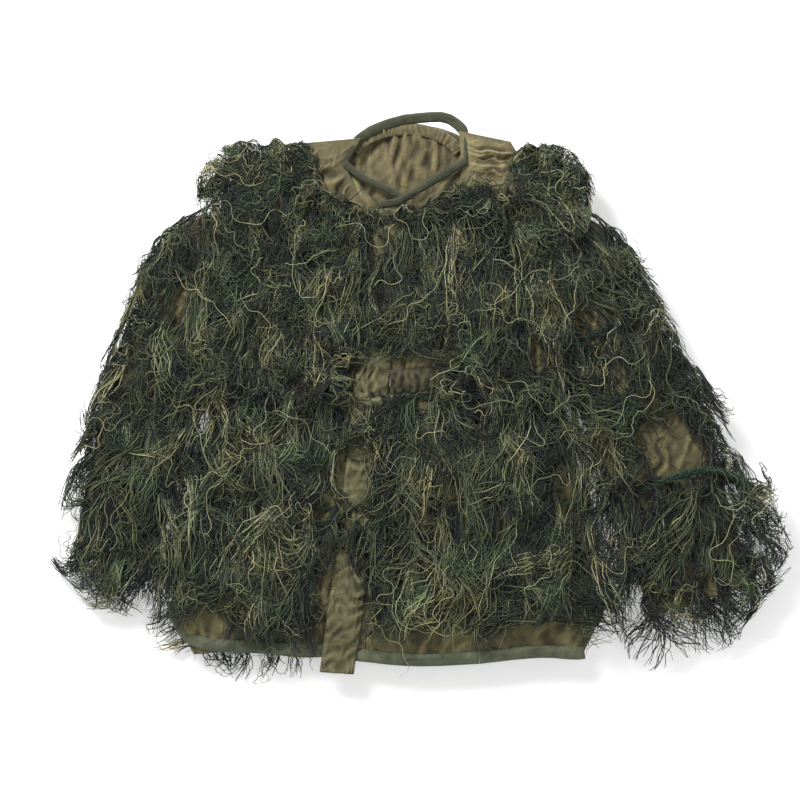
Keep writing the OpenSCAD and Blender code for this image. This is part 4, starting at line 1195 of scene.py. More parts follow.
class GHILLIE_OT_sleeves(bpy.types.Operator):
    """Lays the upper sleeves, the forearms and their cuffs"""
    bl_idname = "ghillie.sleeves"
    bl_label = "Sleeves"

    def execute(self, context):
        thick = cloth_settings().shell_thickness
        shell = MATERIALS["shell"]
        for side, arm in ARMS.items():
            for under in (False, True):
                where = "underside" if under else "sleeve"
                base = BACK_Z if under else low_high(f"{side}_upper_sleeve")[1][2]
                shrink = 3 * MM if under else 0.0
                cap = 0.84 * arm.head_half
                us = np.array([-0.86, -0.6, -0.3, 0.0]) * cap
                half = np.sqrt(cap ** 2 - us ** 2)
                us = np.r_[us, arm.upper_len - 6 * MM]
                half = np.r_[half, arm.elbow_half] - shrink
                a = [arm.upper(u, -h) for u, h in zip(us, half)]
                b = [arm.upper(u, h) for u, h in zip(us, half)]
                piece, area = cloth(f"{side}_upper_{where}_cloth", b, a, 20 if under else 40,
                                    30 if under else 60,
                                    sleeve_height(base, arm, "upper", 81 + under, under), shell, thick,
                                    f"{side}_upper_arm")
                face_outwards(piece)
                stands_for(piece, "shell_cloth", f"{side}_upper_{where}")
                declare(piece, area, [] if under else [f"{side}_upper_yarn", f"{side}_upper_knots"])
                us = np.array([-0.8, -0.5, -0.2, 0.1]) * arm.elbow_half
                half = np.sqrt(arm.elbow_half ** 2 - us ** 2)
                us = np.r_[us, arm.fore_len - 30 * MM, arm.fore_len - 6 * MM]
                half = np.r_[half, arm.cuff_half + 4 * MM, arm.cuff_half] - shrink
                a = [arm.fore(u, -h) for u, h in zip(us, half)]
                b = [arm.fore(u, h) for u, h in zip(us, half)]
                piece, area = cloth(f"{side}_forearm_{where}_cloth", b, a, 20 if under else 44,
                                    36 if under else 76,
                                    sleeve_height(base + (0 if under else 1.0 * MM), arm, "fore", 85 + under,
                                                  under),
                                    shell, thick, f"{side}_lower_arm")
                face_outwards(piece)
                stands_for(piece, "shell_cloth", f"{side}_forearm_{where}")
                declare(piece, area, [] if under else [f"{side}_forearm_yarn"])
            top = low_high(f"{side}_cuff_casing")[0][2]
            ends = [arm.fore(arm.fore_len - 14 * MM, h) for h in (arm.cuff_half - 3 * MM,
                                                                  -arm.cuff_half + 3 * MM)]
            path = [(*(ends[0] + (ends[1] - ends[0]) * f), top + 1.5 * MM) for f in np.linspace(0, 1, 9)]
            band = tape(f"{side}_cuff_band", path, 26 * MM, shell, f"{side}_lower_arm", thick, 10, 2 * MM,
                        2 * MM,
                        1.0 * MM, 8 * MM)
            stands_for(band, "shell_cloth", f"{side}_cuff_casing")
            declare(band, sum(p.area for p in band.data.polygons) / 2)
            path = [(x, y, z - 1.0 * MM) for x, y, z in path]
            band = tape(f"{side}_cuff_rib", path, 18 * MM, MATERIALS["elastic"], f"{side}_lower_arm",
                        1.0 * MM, 6, 0.3 * MM, 2 * MM, 0.25 * MM, 3 * MM)
            stands_for(band, "elastic", f"{side}_cuff_elastic")
        return {"FINISHED"}


def face_outwards(obj):
    """Turns the faces of a closed cloth outwards, whichever way round its edges ran."""
    deselect()
    activate(obj)
    bpy.ops.object.mode_set(mode="EDIT")
    bpy.ops.mesh.select_all(action="SELECT")
    bpy.ops.mesh.normals_make_consistent(inside=False)
    bpy.ops.object.mode_set(mode="OBJECT")


def stitches(paths, name, body, radius=0.35 * MM):
    """Short raised stitches along 3D paths."""
    length = cloth_settings().stitch_length
    tubes = Tubes(sides=4)
    for path in paths:
        path = np.asarray(path, float)
        total = np.linalg.norm(np.diff(path, axis=0), axis=1).sum()
        n = int(total / (length * 1.35))
        starts = (np.arange(n) + 0.1) / n
        at = starts[:, None] + np.linspace(0, 0.72, 4)[None] / n
        points = between(path, at.ravel()).reshape(n, 4, 3)
        points[..., 2] += radius * np.array([-0.6, 0.9, 0.9, -0.6])
        tubes.add(points, np.full(n, radius), np.linspace(0, 1, n))
    obj = tubes.build(name, MATERIALS["thread"], body)
    return obj


class GHILLIE_OT_placket(bpy.types.Operator):
    """Lays the over and under plackets and sews them"""
    bl_idname = "ghillie.placket"
    bl_label = "Front placket"

    def execute(self, context):
        thick = cloth_settings().shell_thickness
        z = low_high("over_placket")[1][2]
        bottom, top = PLACKET_LOW[1], PLACKET_HIGH[1]

        def height(x, y, s, t):
            edge = smoothstep(np.minimum(s, 1 - s) * 9)
            sway = 6.0 * MM * creases(x, y, 24 * MM, 91, 74) + 4.5 * MM * creases(x, y, 26 * MM, 92, 24)
            sway = sway + 1.6 * MM * waves(x, y, 90 * MM, 93) - 2.6 * MM
            droop = 5 * MM * np.exp(-((y - bottom) / (40 * MM)) ** 2)
            return z + 1.5 * MM * edge + sway + gathers(x, y) * 0.8 - droop

        ys = np.linspace(bottom, top, 12)
        sway = 3 * MM * np.sin(np.linspace(0, 5, 12))
        left = [(placket_x(y) + w, y) for y, w in zip(ys, sway)]
        right = [(placket_x(y) + PLACKET_W + w, y) for y, w in zip(ys, sway)]
        right[0] = (right[0][0], bottom - 3 * MM)
        over, area = cloth("over_placket_cloth", left, right, 20, 190, height, MATERIALS["placket"],
                           thick * 1.6, "front_flap")
        stands_for(over, "shell_cloth", "over_placket")
        declare(over, area, ["placket_stitches"])
        lines = []
        for inset in (6 * MM, PLACKET_W - 7 * MM):
            xs = np.array([placket_x(y) + w + inset for y, w in zip(ys, sway)])
            fine = np.linspace(bottom + 6 * MM, top, 160)
            x = np.interp(fine, ys, xs)
            s = np.full_like(x, inset / PLACKET_W)
            lines.append(np.column_stack([x, fine, height(x, fine, s, s) + 0.2 * MM]))
        stitches(lines, "placket_stitches", "front_flap")

        base = low_high("under_placket")[1][2]
        left = [(placket_x(y) + 6 * MM, y) for y in (HEM_Y, NECK_BOTTOM_Y)]
        right = [(placket_x(y) + PLACKET_W - 8 * MM, y) for y in (HEM_Y, NECK_BOTTOM_Y)]
        under, area = cloth("under_placket_cloth", left, right, 8, 80,
                            lambda x, y, s, t: base + 0.3 * MM * waves(x, y, 60 * MM,
                                                                       95), MATERIALS["shell"], thick)
        stands_for(under, "shell_cloth", "under_placket")
        declare(under, area)
        return {"FINISHED"}


class GHILLIE_OT_waist(bpy.types.Operator):
    """Makes the gathered waist casings and the elastic inside them"""
    bl_idname = "ghillie.waist"
    bl_label = "Waist"

    def execute(self, context):
        y = WAIST_Y
        runs = {
            "left": ("left_waist_casing", left_edge(y) + 6 * MM, placket_x(y) - 1 * MM, "torso"),
            "flap": ("flap_waist_casing", placket_x(y) + PLACKET_W + 1 * MM, FOLD_X - 0.5 * MM, "front_flap"),
            "right": ("right_waist_casing", FOLD_X + 0.5 * MM, right_edge(y) - 6 * MM, "torso"),
        }
        for side, (node, x0, x1, body) in runs.items():
            z = low_high(node)[0][2] + 0.4 * MM
            path = [(x, y + 3 * MM * math.sin(x * 40), z) for x in np.linspace(x0, x1, 16)]
            band = tape(f"{side}_waist_band", path, 2 * CASING_HALF - 6 * MM, MATERIALS["waist"], body,
                        0.9 * MM,
                        16, 5.4 * MM, 1.8 * MM, 1.9 * MM, 10.5 * MM, ragged=0.12)
            stands_for(band, "shell_cloth", node)
            declare(band, sum(p.area for p in band.data.polygons) / 2)
        low, high = low_high("waist_elastic")
        z = low[2] - 0.8 * MM
        path = [(x, y, z) for x in np.linspace(low[0], placket_x(y) - 4 * MM, 8)]
        rib = tape("waist_rib", path, 0.7 * (high[1] - low[1]), MATERIALS["elastic"], "torso", 1.0 * MM, 8,
                   0.3 * MM,
                   2.2 * MM, 0.25 * MM, 3 * MM)
        stands_for(rib, "elastic", "waist_elastic")
        low, high = low_high("flap_elastic")
        path = [(x, y, low[2] - 0.8 * MM) for x in np.linspace(low[0], high[0], 8)]
        rib = tape("flap_waist_rib", path, 0.7 * (high[1] - low[1]), MATERIALS["elastic"], "front_flap",
                   1.0 * MM, 8,
                   0.3 * MM, 2.2 * MM, 0.25 * MM, 3 * MM)
        stands_for(rib, "elastic", "flap_elastic")
        return {"FINISHED"}


class GHILLIE_OT_bindings(bpy.types.Operator):
    """Folds the green binding round the neck and along the hems"""
    bl_idname = "ghillie.bindings"
    bl_label = "Green bindings"

    def execute(self, context):
        green = MATERIALS["binding"]
        wide = cloth_settings().binding_width
        ry = NECK_HIGH[1] - wide / 2 - NECK_SIDE_Y
        z0 = LEFT_Z + 1.0 * MM
        arc = [(-1.0, 0.02, z0 + 1 * MM), (-0.92, 0.26, z0), (-0.70, 0.62, 33 * MM), (-0.11, 0.89, 30 * MM),
               (0.34, 0.95, 30 * MM), (0.70, 0.96, 31 * MM), (0.94, 0.76, 34 * MM), (1.01, 0.60, 38 * MM),
               (1.02, 0.30, 41 * MM), (1.01, 0.02, FLAP_Z + 4 * MM)]
        path = smooth_line([(NECK_CX + NECK_HALF * x, NECK_SIDE_Y + ry * y, z) for x, y, z in arc], 1)
        band = tape("back_neck_binding_tape", path, wide * 1.05, green, crown=1.6 * MM, step=3 * MM,
                    taper=((0, 0.7), (0.12, 0.85), (0.3, 1), (0.8, 1), (0.86, 0.5), (1, 0.38)))
        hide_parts("back_neck_binding")
        path = smooth_line([(NECK_CX - 1.0 * NECK_HALF, NECK_SIDE_Y + 5 * MM, z0 + 3 * MM),
                            (NECK_CX - 0.72 * NECK_HALF, NECK_SIDE_Y - 15 * MM, z0 + 3 * MM),
                            (NECK_CX - 0.30 * NECK_HALF, NECK_SIDE_Y - 31 * MM, z0 + 3 * MM),
                            (NECK_CX - 0.02 * NECK_HALF, NECK_SIDE_Y - 44 * MM, z0 + 3 * MM)], 1)
        band = tape("left_neck_tape", path, wide * 0.72, green, crown=1.6 * MM, step=4 * MM)
        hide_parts("left_neck_binding")
        z = FLAP_Z + 3.4 * MM
        path = smooth_line([(NECK_CX + 1.02 * NECK_HALF, NECK_SIDE_Y + 8 * MM, z + 2 * MM),
                            (NECK_CX + 0.80 * NECK_HALF, NECK_SIDE_Y - 6 * MM, z + 2 * MM),
                            (NECK_CX + 0.45 * NECK_HALF, NECK_SIDE_Y - 22 * MM, z + 1.5 * MM),
                            (NECK_CX + 0.02 * NECK_HALF, NECK_SIDE_Y - 44 * MM, z + 1 * MM),
                            (NECK_CX - 0.12 * NECK_HALF, NECK_SIDE_Y - 51 * MM, z),
                            (NECK_CX - 0.40 * NECK_HALF, NECK_SIDE_Y - 54 * MM, z)], 1)
        band = tape("flap_neck_tape", path, wide * 0.8, green, "front_flap", crown=1.6 * MM, step=4 * MM)
        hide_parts("flap_neck_binding")
        y = HEM_Y
        z = low_high("left_hem_binding")[1][2] - 5 * MM
        path = smooth_line([(left_edge(y + HEM_LIFT) + 2 * MM, y + HEM_LIFT + 8 * MM, z - 6 * MM),
                            (left_edge(y + HEM_LIFT) + 14 * MM, y + 0.5 * HEM_LIFT, z),
                            (left_edge(y) + 8 * MM, y + 12 * MM, z + 1 * MM),
                            (left_edge(y) + 70 * MM, y + 9 * MM, z + 1 * MM),
                            (placket_x(y) + 2 * MM, y + 4 * MM, z)])
        green = MATERIALS["hem"]
        band = tape("left_hem_tape", path, wide * 1.25, green, crown=1.8 * MM, step=5 * MM, pucker=0.5 * MM,
                    pitch=24 * MM)
        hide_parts("left_hem_binding")
        z = low_high("right_hem_binding")[1][2] - 5 * MM
        low = np.array([placket_x(y) + PLACKET_W, y - 2 * MM, z])
        path = smooth_line([low, low + (0.08, -9 * MM, 1 * MM), (FOLD_X, y - 6 * MM, z + 1 * MM)])
        band = tape("flap_hem_tape", path, wide * 1.25, green, "front_flap", crown=1.8 * MM, step=5 * MM,
                    pucker=0.5 * MM, pitch=26 * MM)
        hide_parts("flap_hem_binding")
        path = smooth_line([(FOLD_X, y - 6 * MM, z + 1 * MM),
                            (right_edge(y) - 60 * MM, y + 4 * MM, z + 1 * MM),
                            (right_edge(y) - 10 * MM, y - 1 * MM, z), (right_edge(y) + 1 * MM, y + 1 * MM,
                                                                       z - 1 * MM)])
        band = tape("right_hem_tape", path, wide * 1.25, green, crown=1.8 * MM, step=5 * MM, pucker=0.5 * MM,
                    pitch=22 * MM)
        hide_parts("right_hem_binding")
        z = low_high("back_hem_binding")[1][2]
        path = smooth_line([(left_edge(y) + 14 * MM, y + 20 * MM, z + 0.5 * MM),
                            (left_edge(y) + 50 * MM, y + 9 * MM, z),
                            (right_edge(y) - 50 * MM, y + 9 * MM, z), (right_edge(y) - 8 * MM, y + 12 * MM,
                                                                       z)])
        band = tape("back_hem_tape", path, wide, green, crown=0.4 * MM, step=6 * MM)
        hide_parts("back_hem_binding")
        return {"FINISHED"}


class GHILLIE_OT_snaps(bpy.types.Operator):
    """Gives the snap fasteners their black metal"""
    bl_idname = "ghillie.snaps"
    bl_label = "Snaps"

    def execute(self, context):
        for node in ("snap_caps", "snap_sockets", "snap_studs", "snap_posts"):
            obj = frame["nodes"][node]
            obj.data.materials.clear()
            obj.data.materials.append(MATERIALS["snap"])
        return {"FINISHED"}


def braid(tubes, path, radius, pitch=13 * MM, seed=1):
    """Three cords plaited round each other along a 3D path."""
    path = smooth_line(path, 2)
    total = np.linalg.norm(np.diff(path, axis=0), axis=1).sum()
    m = max(12, int(total / (2.6 * MM)))
    share = np.linspace(0, 1, m)
    centre = between(path, share)
    along = np.gradient(centre, axis=0)
    side = np.stack([-along[:, 1], along[:, 0]], -1)
    side /= np.linalg.norm(side, axis=1)[:, None]
    cords = []
    for k in range(3):
        turn = 2 * math.pi * (share * total / pitch + k / 3)
        off = 1.25 * radius * np.sin(turn)
        lift = 0.62 * radius * np.sin(2 * turn)
        cords.append(np.column_stack([centre[:, :2] + side * off[:, None], centre[:, 2] + lift + radius]))
    rng = np.random.default_rng(seed)
    tubes.add(np.array(cords), np.full(3, radius), rng.random(3))


class GHILLIE_OT_knot_rows(bpy.types.Operator):
    """Plaits the header cords that the yarn is knotted to"""
    bl_idname = "ghillie.knot_rows"
    bl_label = "Header cords"

    def execute(self, context):
        def line(ends, z, sag=4 * MM):
            a, b = np.array(ends[0]), np.array(ends[1])
            mid = (a + b) / 2 - (0, sag)
            return [(*a, z), (*mid, z), (*b, z)]

        torso, flap = Tubes(5), Tubes(5)
        r = 1.6 * MM
        for y in (CHEST_Y, WAIST_ROW_Y, SKIRT_ROW_Y):
            braid(torso, line(on_left(y, 6 * MM, -8 * MM), LEFT_Z + 0.5 * MM), r, seed=1)
            braid(torso, line(on_right(y), FLAP_Z + 0.5 * MM), r, seed=2)
            braid(flap, line(on_flap(y, -4 * MM), FLAP_Z + 0.5 * MM), r, seed=3)
        obj = torso.build("torso_knots", MATERIALS["knot"], "torso")
        stands_for(obj, "knot_cord", "torso_knot_rows")
        obj = flap.build("flap_knots", MATERIALS["knot"], "front_flap")
        stands_for(obj, "knot_cord", "flap_knot_rows")
        for side, arm in ARMS.items():
            tubes = Tubes(5)
            top = low_high(f"{side}_upper_sleeve")[1][2] + 1.5 * MM
            for u, half in ((0.05, 0.9), (0.45, 0.95)):
                w = half * (arm.head_half * (1 - u) + arm.elbow_half * u)
                ends = (arm.upper(u * arm.upper_len, -w), arm.upper(u * arm.upper_len, w))
                braid(tubes, line(ends, top), r, seed=4)
            obj = tubes.build(f"{side}_upper_knots", MATERIALS["knot"], f"{side}_upper_arm")
            stands_for(obj, "knot_cord", f"{side}_upper_knot_rows")
        arm = ARMS["right"]
        tubes = Tubes(5)
        top = low_high("right_forearm_sleeve")[1][2] + 4 * MM
        path = [(*arm.fore(0.40 * arm.fore_len, -0.55 * arm.cuff_half), top),
                (*arm.fore(0.37 * arm.fore_len, 0.3 * arm.cuff_half), top + 7 * MM),
                (*arm.fore(0.40 * arm.fore_len, 1.1 * arm.cuff_half), top + 8 * MM),
                (*arm.fore(0.60 * arm.fore_len, 1.75 * arm.cuff_half), top)]
        braid(tubes, path, 2.6 * MM, seed=5)
        obj = tubes.build("right_forearm_header", MATERIALS["knot"], "right_lower_arm")
        return {"FINISHED"}


class GHILLIE_OT_torso_yarn(bpy.types.Operator):
    """Grows the yarn of the left front, the right front and the shoulders"""
    bl_idname = "ghillie.torso_yarn"
    bl_label = "Torso yarn"

    def execute(self, context):
        z = LEFT_Z
        keep = squeeze_box(BACK_LOW[0] - 10 * MM, FOLD_X, HEM_Y - 30 * MM, SHOULDER_Y)
        rows = [
            row((placket_x(CHEST_Y) - 80 * MM, CHEST_Y + 30 * MM),
                (placket_x(CHEST_Y) + 2 * MM, CHEST_Y + 4 * MM),
                262, 95 * MM, z=z),
            row((placket_x(CHEST_Y) - 84 * MM, CHEST_Y + 26 * MM),
                (placket_x(CHEST_Y) - 30 * MM, CHEST_Y + 8 * MM),
                335, 52 * MM, z=z + 6 * MM, spread=30, curl=2),
            row(*on_left(CHEST_Y, 8 * MM, -20 * MM, 24 * MM), 264, 150 * MM, z=z, fan=-24),
            row(*on_left(CHEST_Y - 40 * MM, 4 * MM, -26 * MM, 20 * MM, -8 * MM), 262, 135 * MM, z=z, fan=-16),
            row(*on_left(CHEST_Y - 84 * MM, 0, -28 * MM, 14 * MM, -10 * MM), 264, 125 * MM, z=z),
            row(*on_left(CHEST_Y - 142 * MM, 0, -14 * MM, 8 * MM), 266, 128 * MM, z=z)]
        yarn_piece("left_chest_yarn", "torso", rows, 101, ["left_chest_fringe"], keep)
        y = WAIST_ROW_Y + 18 * MM
        rows = [row(*on_left(y + 20 * MM, 2 * MM, 0, 8 * MM), 262, 60 * MM, z=z + 6 * MM, mats=3, spread=30,
                    dense=0.8),
                row(*on_left(y, 2 * MM, -4 * MM, 12 * MM), 262, 140 * MM, z=z, fan=-14),
                row(*on_left(y - 38 * MM, 0, -6 * MM, 14 * MM, 6 * MM), 262, 130 * MM, z=z, fan=-18),
                row(*on_left(y - 80 * MM, 0, -8 * MM, 14 * MM, 8 * MM), 262, 120 * MM, z=z, fan=-18)]
        yarn_piece("left_waist_yarn", "torso", rows, 103, ["left_waist_fringe"], keep, combed=True)
        y = SKIRT_ROW_Y + 6 * MM
        rows = [row(*on_left(y, 4 * MM, -4 * MM, 12 * MM), 263, 165 * MM, z=z, fan=-10),
                row(*on_left(y - 40 * MM, 0, -6 * MM, 10 * MM), 263, 145 * MM, z=z, fan=-8),
                row(*on_left(y - 84 * MM, 0, -8 * MM, -10 * MM), 266, 118 * MM, z=z),
                row(*on_left(y - 124 * MM, 6 * MM, -4 * MM, -56 * MM), 270, 84 * MM, z=z, dense=0.8,
                    lift=15 * MM)]
        yarn_piece("left_skirt_yarn", "torso", rows, 105, ["left_skirt_fringe"], keep, combed=True)

        z = FLAP_Z
        keep = squeeze_box(placket_x(HEM_Y), BACK_HIGH[0] + 20 * MM, HEM_Y - 30 * MM, SHOULDER_Y)
        rows = [row((FOLD_X, CHEST_Y + 24 * MM), (right_edge(CHEST_Y) + 10 * MM, CHEST_Y + 8 * MM), 278,
                    110 * MM, z=z),
                row((FOLD_X, CHEST_Y + 26 * MM), (right_edge(CHEST_Y) - 20 * MM, CHEST_Y + 18 * MM), 345,
                    52 * MM,
                    z=z + 6 * MM, spread=40, curl=2),
                row(*on_right(CHEST_Y, -8 * MM, 30 * MM), 276, 150 * MM, z=z, fan=20),
                row(*on_right(CHEST_Y - 40 * MM, -8 * MM, 34 * MM), 276, 140 * MM, z=z, fan=18),
                row(*on_right(CHEST_Y - 90 * MM, 6 * MM, 20 * MM), 272, 125 * MM, z=z),
                row(*on_right(CHEST_Y - 152 * MM, 0, -8 * MM), 270, 122 * MM, z=z)]
        yarn_piece("right_chest_yarn", "torso", rows, 107, ["right_chest_fringe"], keep)
        y = WAIST_ROW_Y + 18 * MM
        rows = [row(*on_right(y + 20 * MM, 4 * MM, -8 * MM), 273, 60 * MM, z=z + 6 * MM, mats=3, spread=30,
                    dense=0.8),
                row(*on_right(y, 10 * MM, 4 * MM), 273, 140 * MM, z=z, fan=12),
                row(*on_right(y - 38 * MM, 4 * MM, 8 * MM), 275, 128 * MM, z=z, fan=12),
                row(*on_right(y - 80 * MM, 2 * MM, 10 * MM), 275, 118 * MM, z=z, fan=10)]
        yarn_piece("right_waist_yarn", "torso", rows, 109, ["right_waist_fringe"], keep, combed=True)
        y = SKIRT_ROW_Y + 6 * MM
        rows = [row(*on_right(y, 0, 14 * MM), 272, 150 * MM, z=z, fan=10),
                row(*on_right(y - 40 * MM, 0, 14 * MM), 274, 138 * MM, z=z, fan=10),
                row(*on_right(y - 86 * MM, 4 * MM, 0), 274, 118 * MM, z=z),
                row(*on_right(y - 126 * MM, 6 * MM, -14 * MM), 268, 72 * MM, z=z, dense=0.8, lift=15 * MM)]
        yarn_piece("right_skirt_yarn", "torso", rows, 111, ["right_skirt_fringe"], keep, combed=True)

        z = LEFT_Z + 2 * MM
        low, high = low_high("left_shoulder_fringe")
        keep = squeeze_round((low[0] + high[0]) / 2 - 2 * MM, low[1] + 18 * MM, 81 * MM, 78 * MM, 0.22)
        rows = [row((low[0] + 22 * MM, low[1] + 26 * MM), (high[0] - 6 * MM, low[1] + 20 * MM), 262, 80 * MM,
                    z=z,
                    fan=-60),
                row((low[0] + 20 * MM, low[1] + 30 * MM), (high[0] - 8 * MM, low[1] + 48 * MM), 150, 60 * MM,
                    z=z,
                    spread=45, curl=2, dense=1.3),
                row((low[0] + 26 * MM, high[1] - 44 * MM), (high[0] - 14 * MM, high[1] - 34 * MM), 100,
                    40 * MM,
                    z=z, spread=50, fan=-80, curl=2.5, dense=1.6),
                row((low[0] + 20 * MM, high[1] - 52 * MM), (low[0] + 30 * MM, low[1] + 6 * MM), 200, 40 * MM,
                    z=z,
                    spread=35, curl=2),
                row((low[0] + 24 * MM, high[1] - 46 * MM), (high[0] - 12 * MM, high[1] - 44 * MM), 235,
                    80 * MM,
                    z=z, spread=40, curl=2, dense=1.5)]
        # A low layer with a darker tone: painted shade under the yarn over it
        rows.append(row((low[0] + 20 * MM, low[1] + 40 * MM), (high[0] - 4 * MM, low[1] + 40 * MM), 90,
                        62 * MM,
                        z=BACK_Z + 4 * MM, spread=25, plain=True, tone=-1.2, lift=16 * MM, dense=1.3))
        yarn_piece("left_shoulder_yarn", "torso", rows, 113, ["left_shoulder_fringe"], keep)
        low, high = low_high("right_shoulder_fringe")
        z = FLAP_Z + 2 * MM
        start = low[0] + 28 * MM
        keep = squeeze_round((start + high[0]) / 2 + 6 * MM, low[1] + 8 * MM, 56 * MM, 78 * MM, 0.22)
        rows = [row((start - 14 * MM, low[1] + 30 * MM), (high[0], low[1] + 20 * MM), 285, 80 * MM, z=z,
                    fan=50),
                row((start, low[1] + 40 * MM), (high[0] + 6 * MM, low[1] + 32 * MM), 20, 56 * MM, z=z,
                    spread=50,
                    curl=2),
                row((start - 2 * MM, high[1] - 34 * MM), (high[0] - 12 * MM, high[1] - 44 * MM), 75, 40 * MM,
                    z=z,
                    spread=50, fan=-60, curl=2.5, dense=1.6),
                row((start, high[1] - 46 * MM), (high[0], high[1] - 54 * MM), 300, 80 * MM, z=z, spread=40,
                    curl=2, dense=1.5)]
        # Low layers with a darker tone: painted shade under the yarn over them
        for heading in (88, 60, 350):
            rows.append(row((start, low[1] + 36 * MM), (high[0] - 4 * MM, low[1] + 24 * MM), heading, 72 * MM,
                            z=BACK_Z + 4 * MM, spread=28, plain=True, tone=-1.0, lift=18 * MM, dense=1.5))
        yarn_piece("right_shoulder_yarn", "torso", rows, 115, ["right_shoulder_fringe"], keep)
        return {"FINISHED"}


class GHILLIE_OT_flap_yarn(bpy.types.Operator):
    """Grows the yarn of the front flap"""
    bl_idname = "ghillie.flap_yarn"
    bl_label = "Flap yarn"

    def execute(self, context):
        z = FLAP_Z
        start = placket_x(CHEST_Y) + 34 * MM
        rows = [row((start, CHEST_Y - 8 * MM), (FOLD_X - 6 * MM, CHEST_Y + 26 * MM), 288, 120 * MM, z=z),
                row((start - 26 * MM, CHEST_Y - 14 * MM), (FOLD_X - 20 * MM, CHEST_Y + 22 * MM), 12, 52 * MM,
                    z=z + 6 * MM, spread=32, curl=2),
                row((start - 20 * MM, CHEST_Y - 22 * MM), (FOLD_X, CHEST_Y - 10 * MM), 276, 150 * MM, z=z),
                row((start - 30 * MM, CHEST_Y - 62 * MM), (FOLD_X, CHEST_Y - 48 * MM), 270, 140 * MM, z=z),
                row((start - 36 * MM, CHEST_Y - 100 * MM), (FOLD_X, CHEST_Y - 90 * MM), 270, 115 * MM, z=z),
                row((start - 46 * MM, CHEST_Y - 144 * MM), (FOLD_X - 40 * MM, CHEST_Y - 144 * MM), 270,
                    74 * MM, z=z),
                row((FOLD_X - 42 * MM, CHEST_Y - 140 * MM), (FOLD_X, CHEST_Y - 150 * MM), 272, 128 * MM, z=z)]
        yarn_piece("flap_chest_yarn", "front_flap", rows, 121, ["flap_chest_fringe"])
        y = WAIST_ROW_Y + 15 * MM
        ends = ((FOLD_X - 54 * MM, y + 24 * MM), (FOLD_X, y + 22 * MM))
        rows = [row(*ends, 268, 60 * MM, z=z + 6 * MM, mats=3, spread=30),
                row(*on_flap(y - 2 * MM, -2 * MM, -36 * MM), 268, 140 * MM, z=z),
                row(*on_flap(y - 40 * MM, 0, -26 * MM), 270, 128 * MM, z=z),
                row(*on_flap(y - 84 * MM, 0, -20 * MM), 268, 120 * MM, z=z)]
        yarn_piece("flap_waist_yarn", "front_flap", rows, 123, ["flap_waist_fringe"], combed=True)
        y = SKIRT_ROW_Y + 6 * MM
        rows = [row(*on_flap(y, 0, -50 * MM), 266, 150 * MM, z=z),
                row(*on_flap(y - 40 * MM, 0, -24 * MM), 268, 138 * MM, z=z),
                row(*on_flap(y - 86 * MM, -2 * MM, -6 * MM), 268, 120 * MM, z=z),
                row(*on_flap(y - 124 * MM, -2 * MM, 4 * MM), 262, 70 * MM, z=z, dense=0.7, lift=15 * MM)]
        yarn_piece("flap_skirt_yarn", "front_flap", rows, 125, ["flap_skirt_fringe"], combed=True)
        return {"FINISHED"}


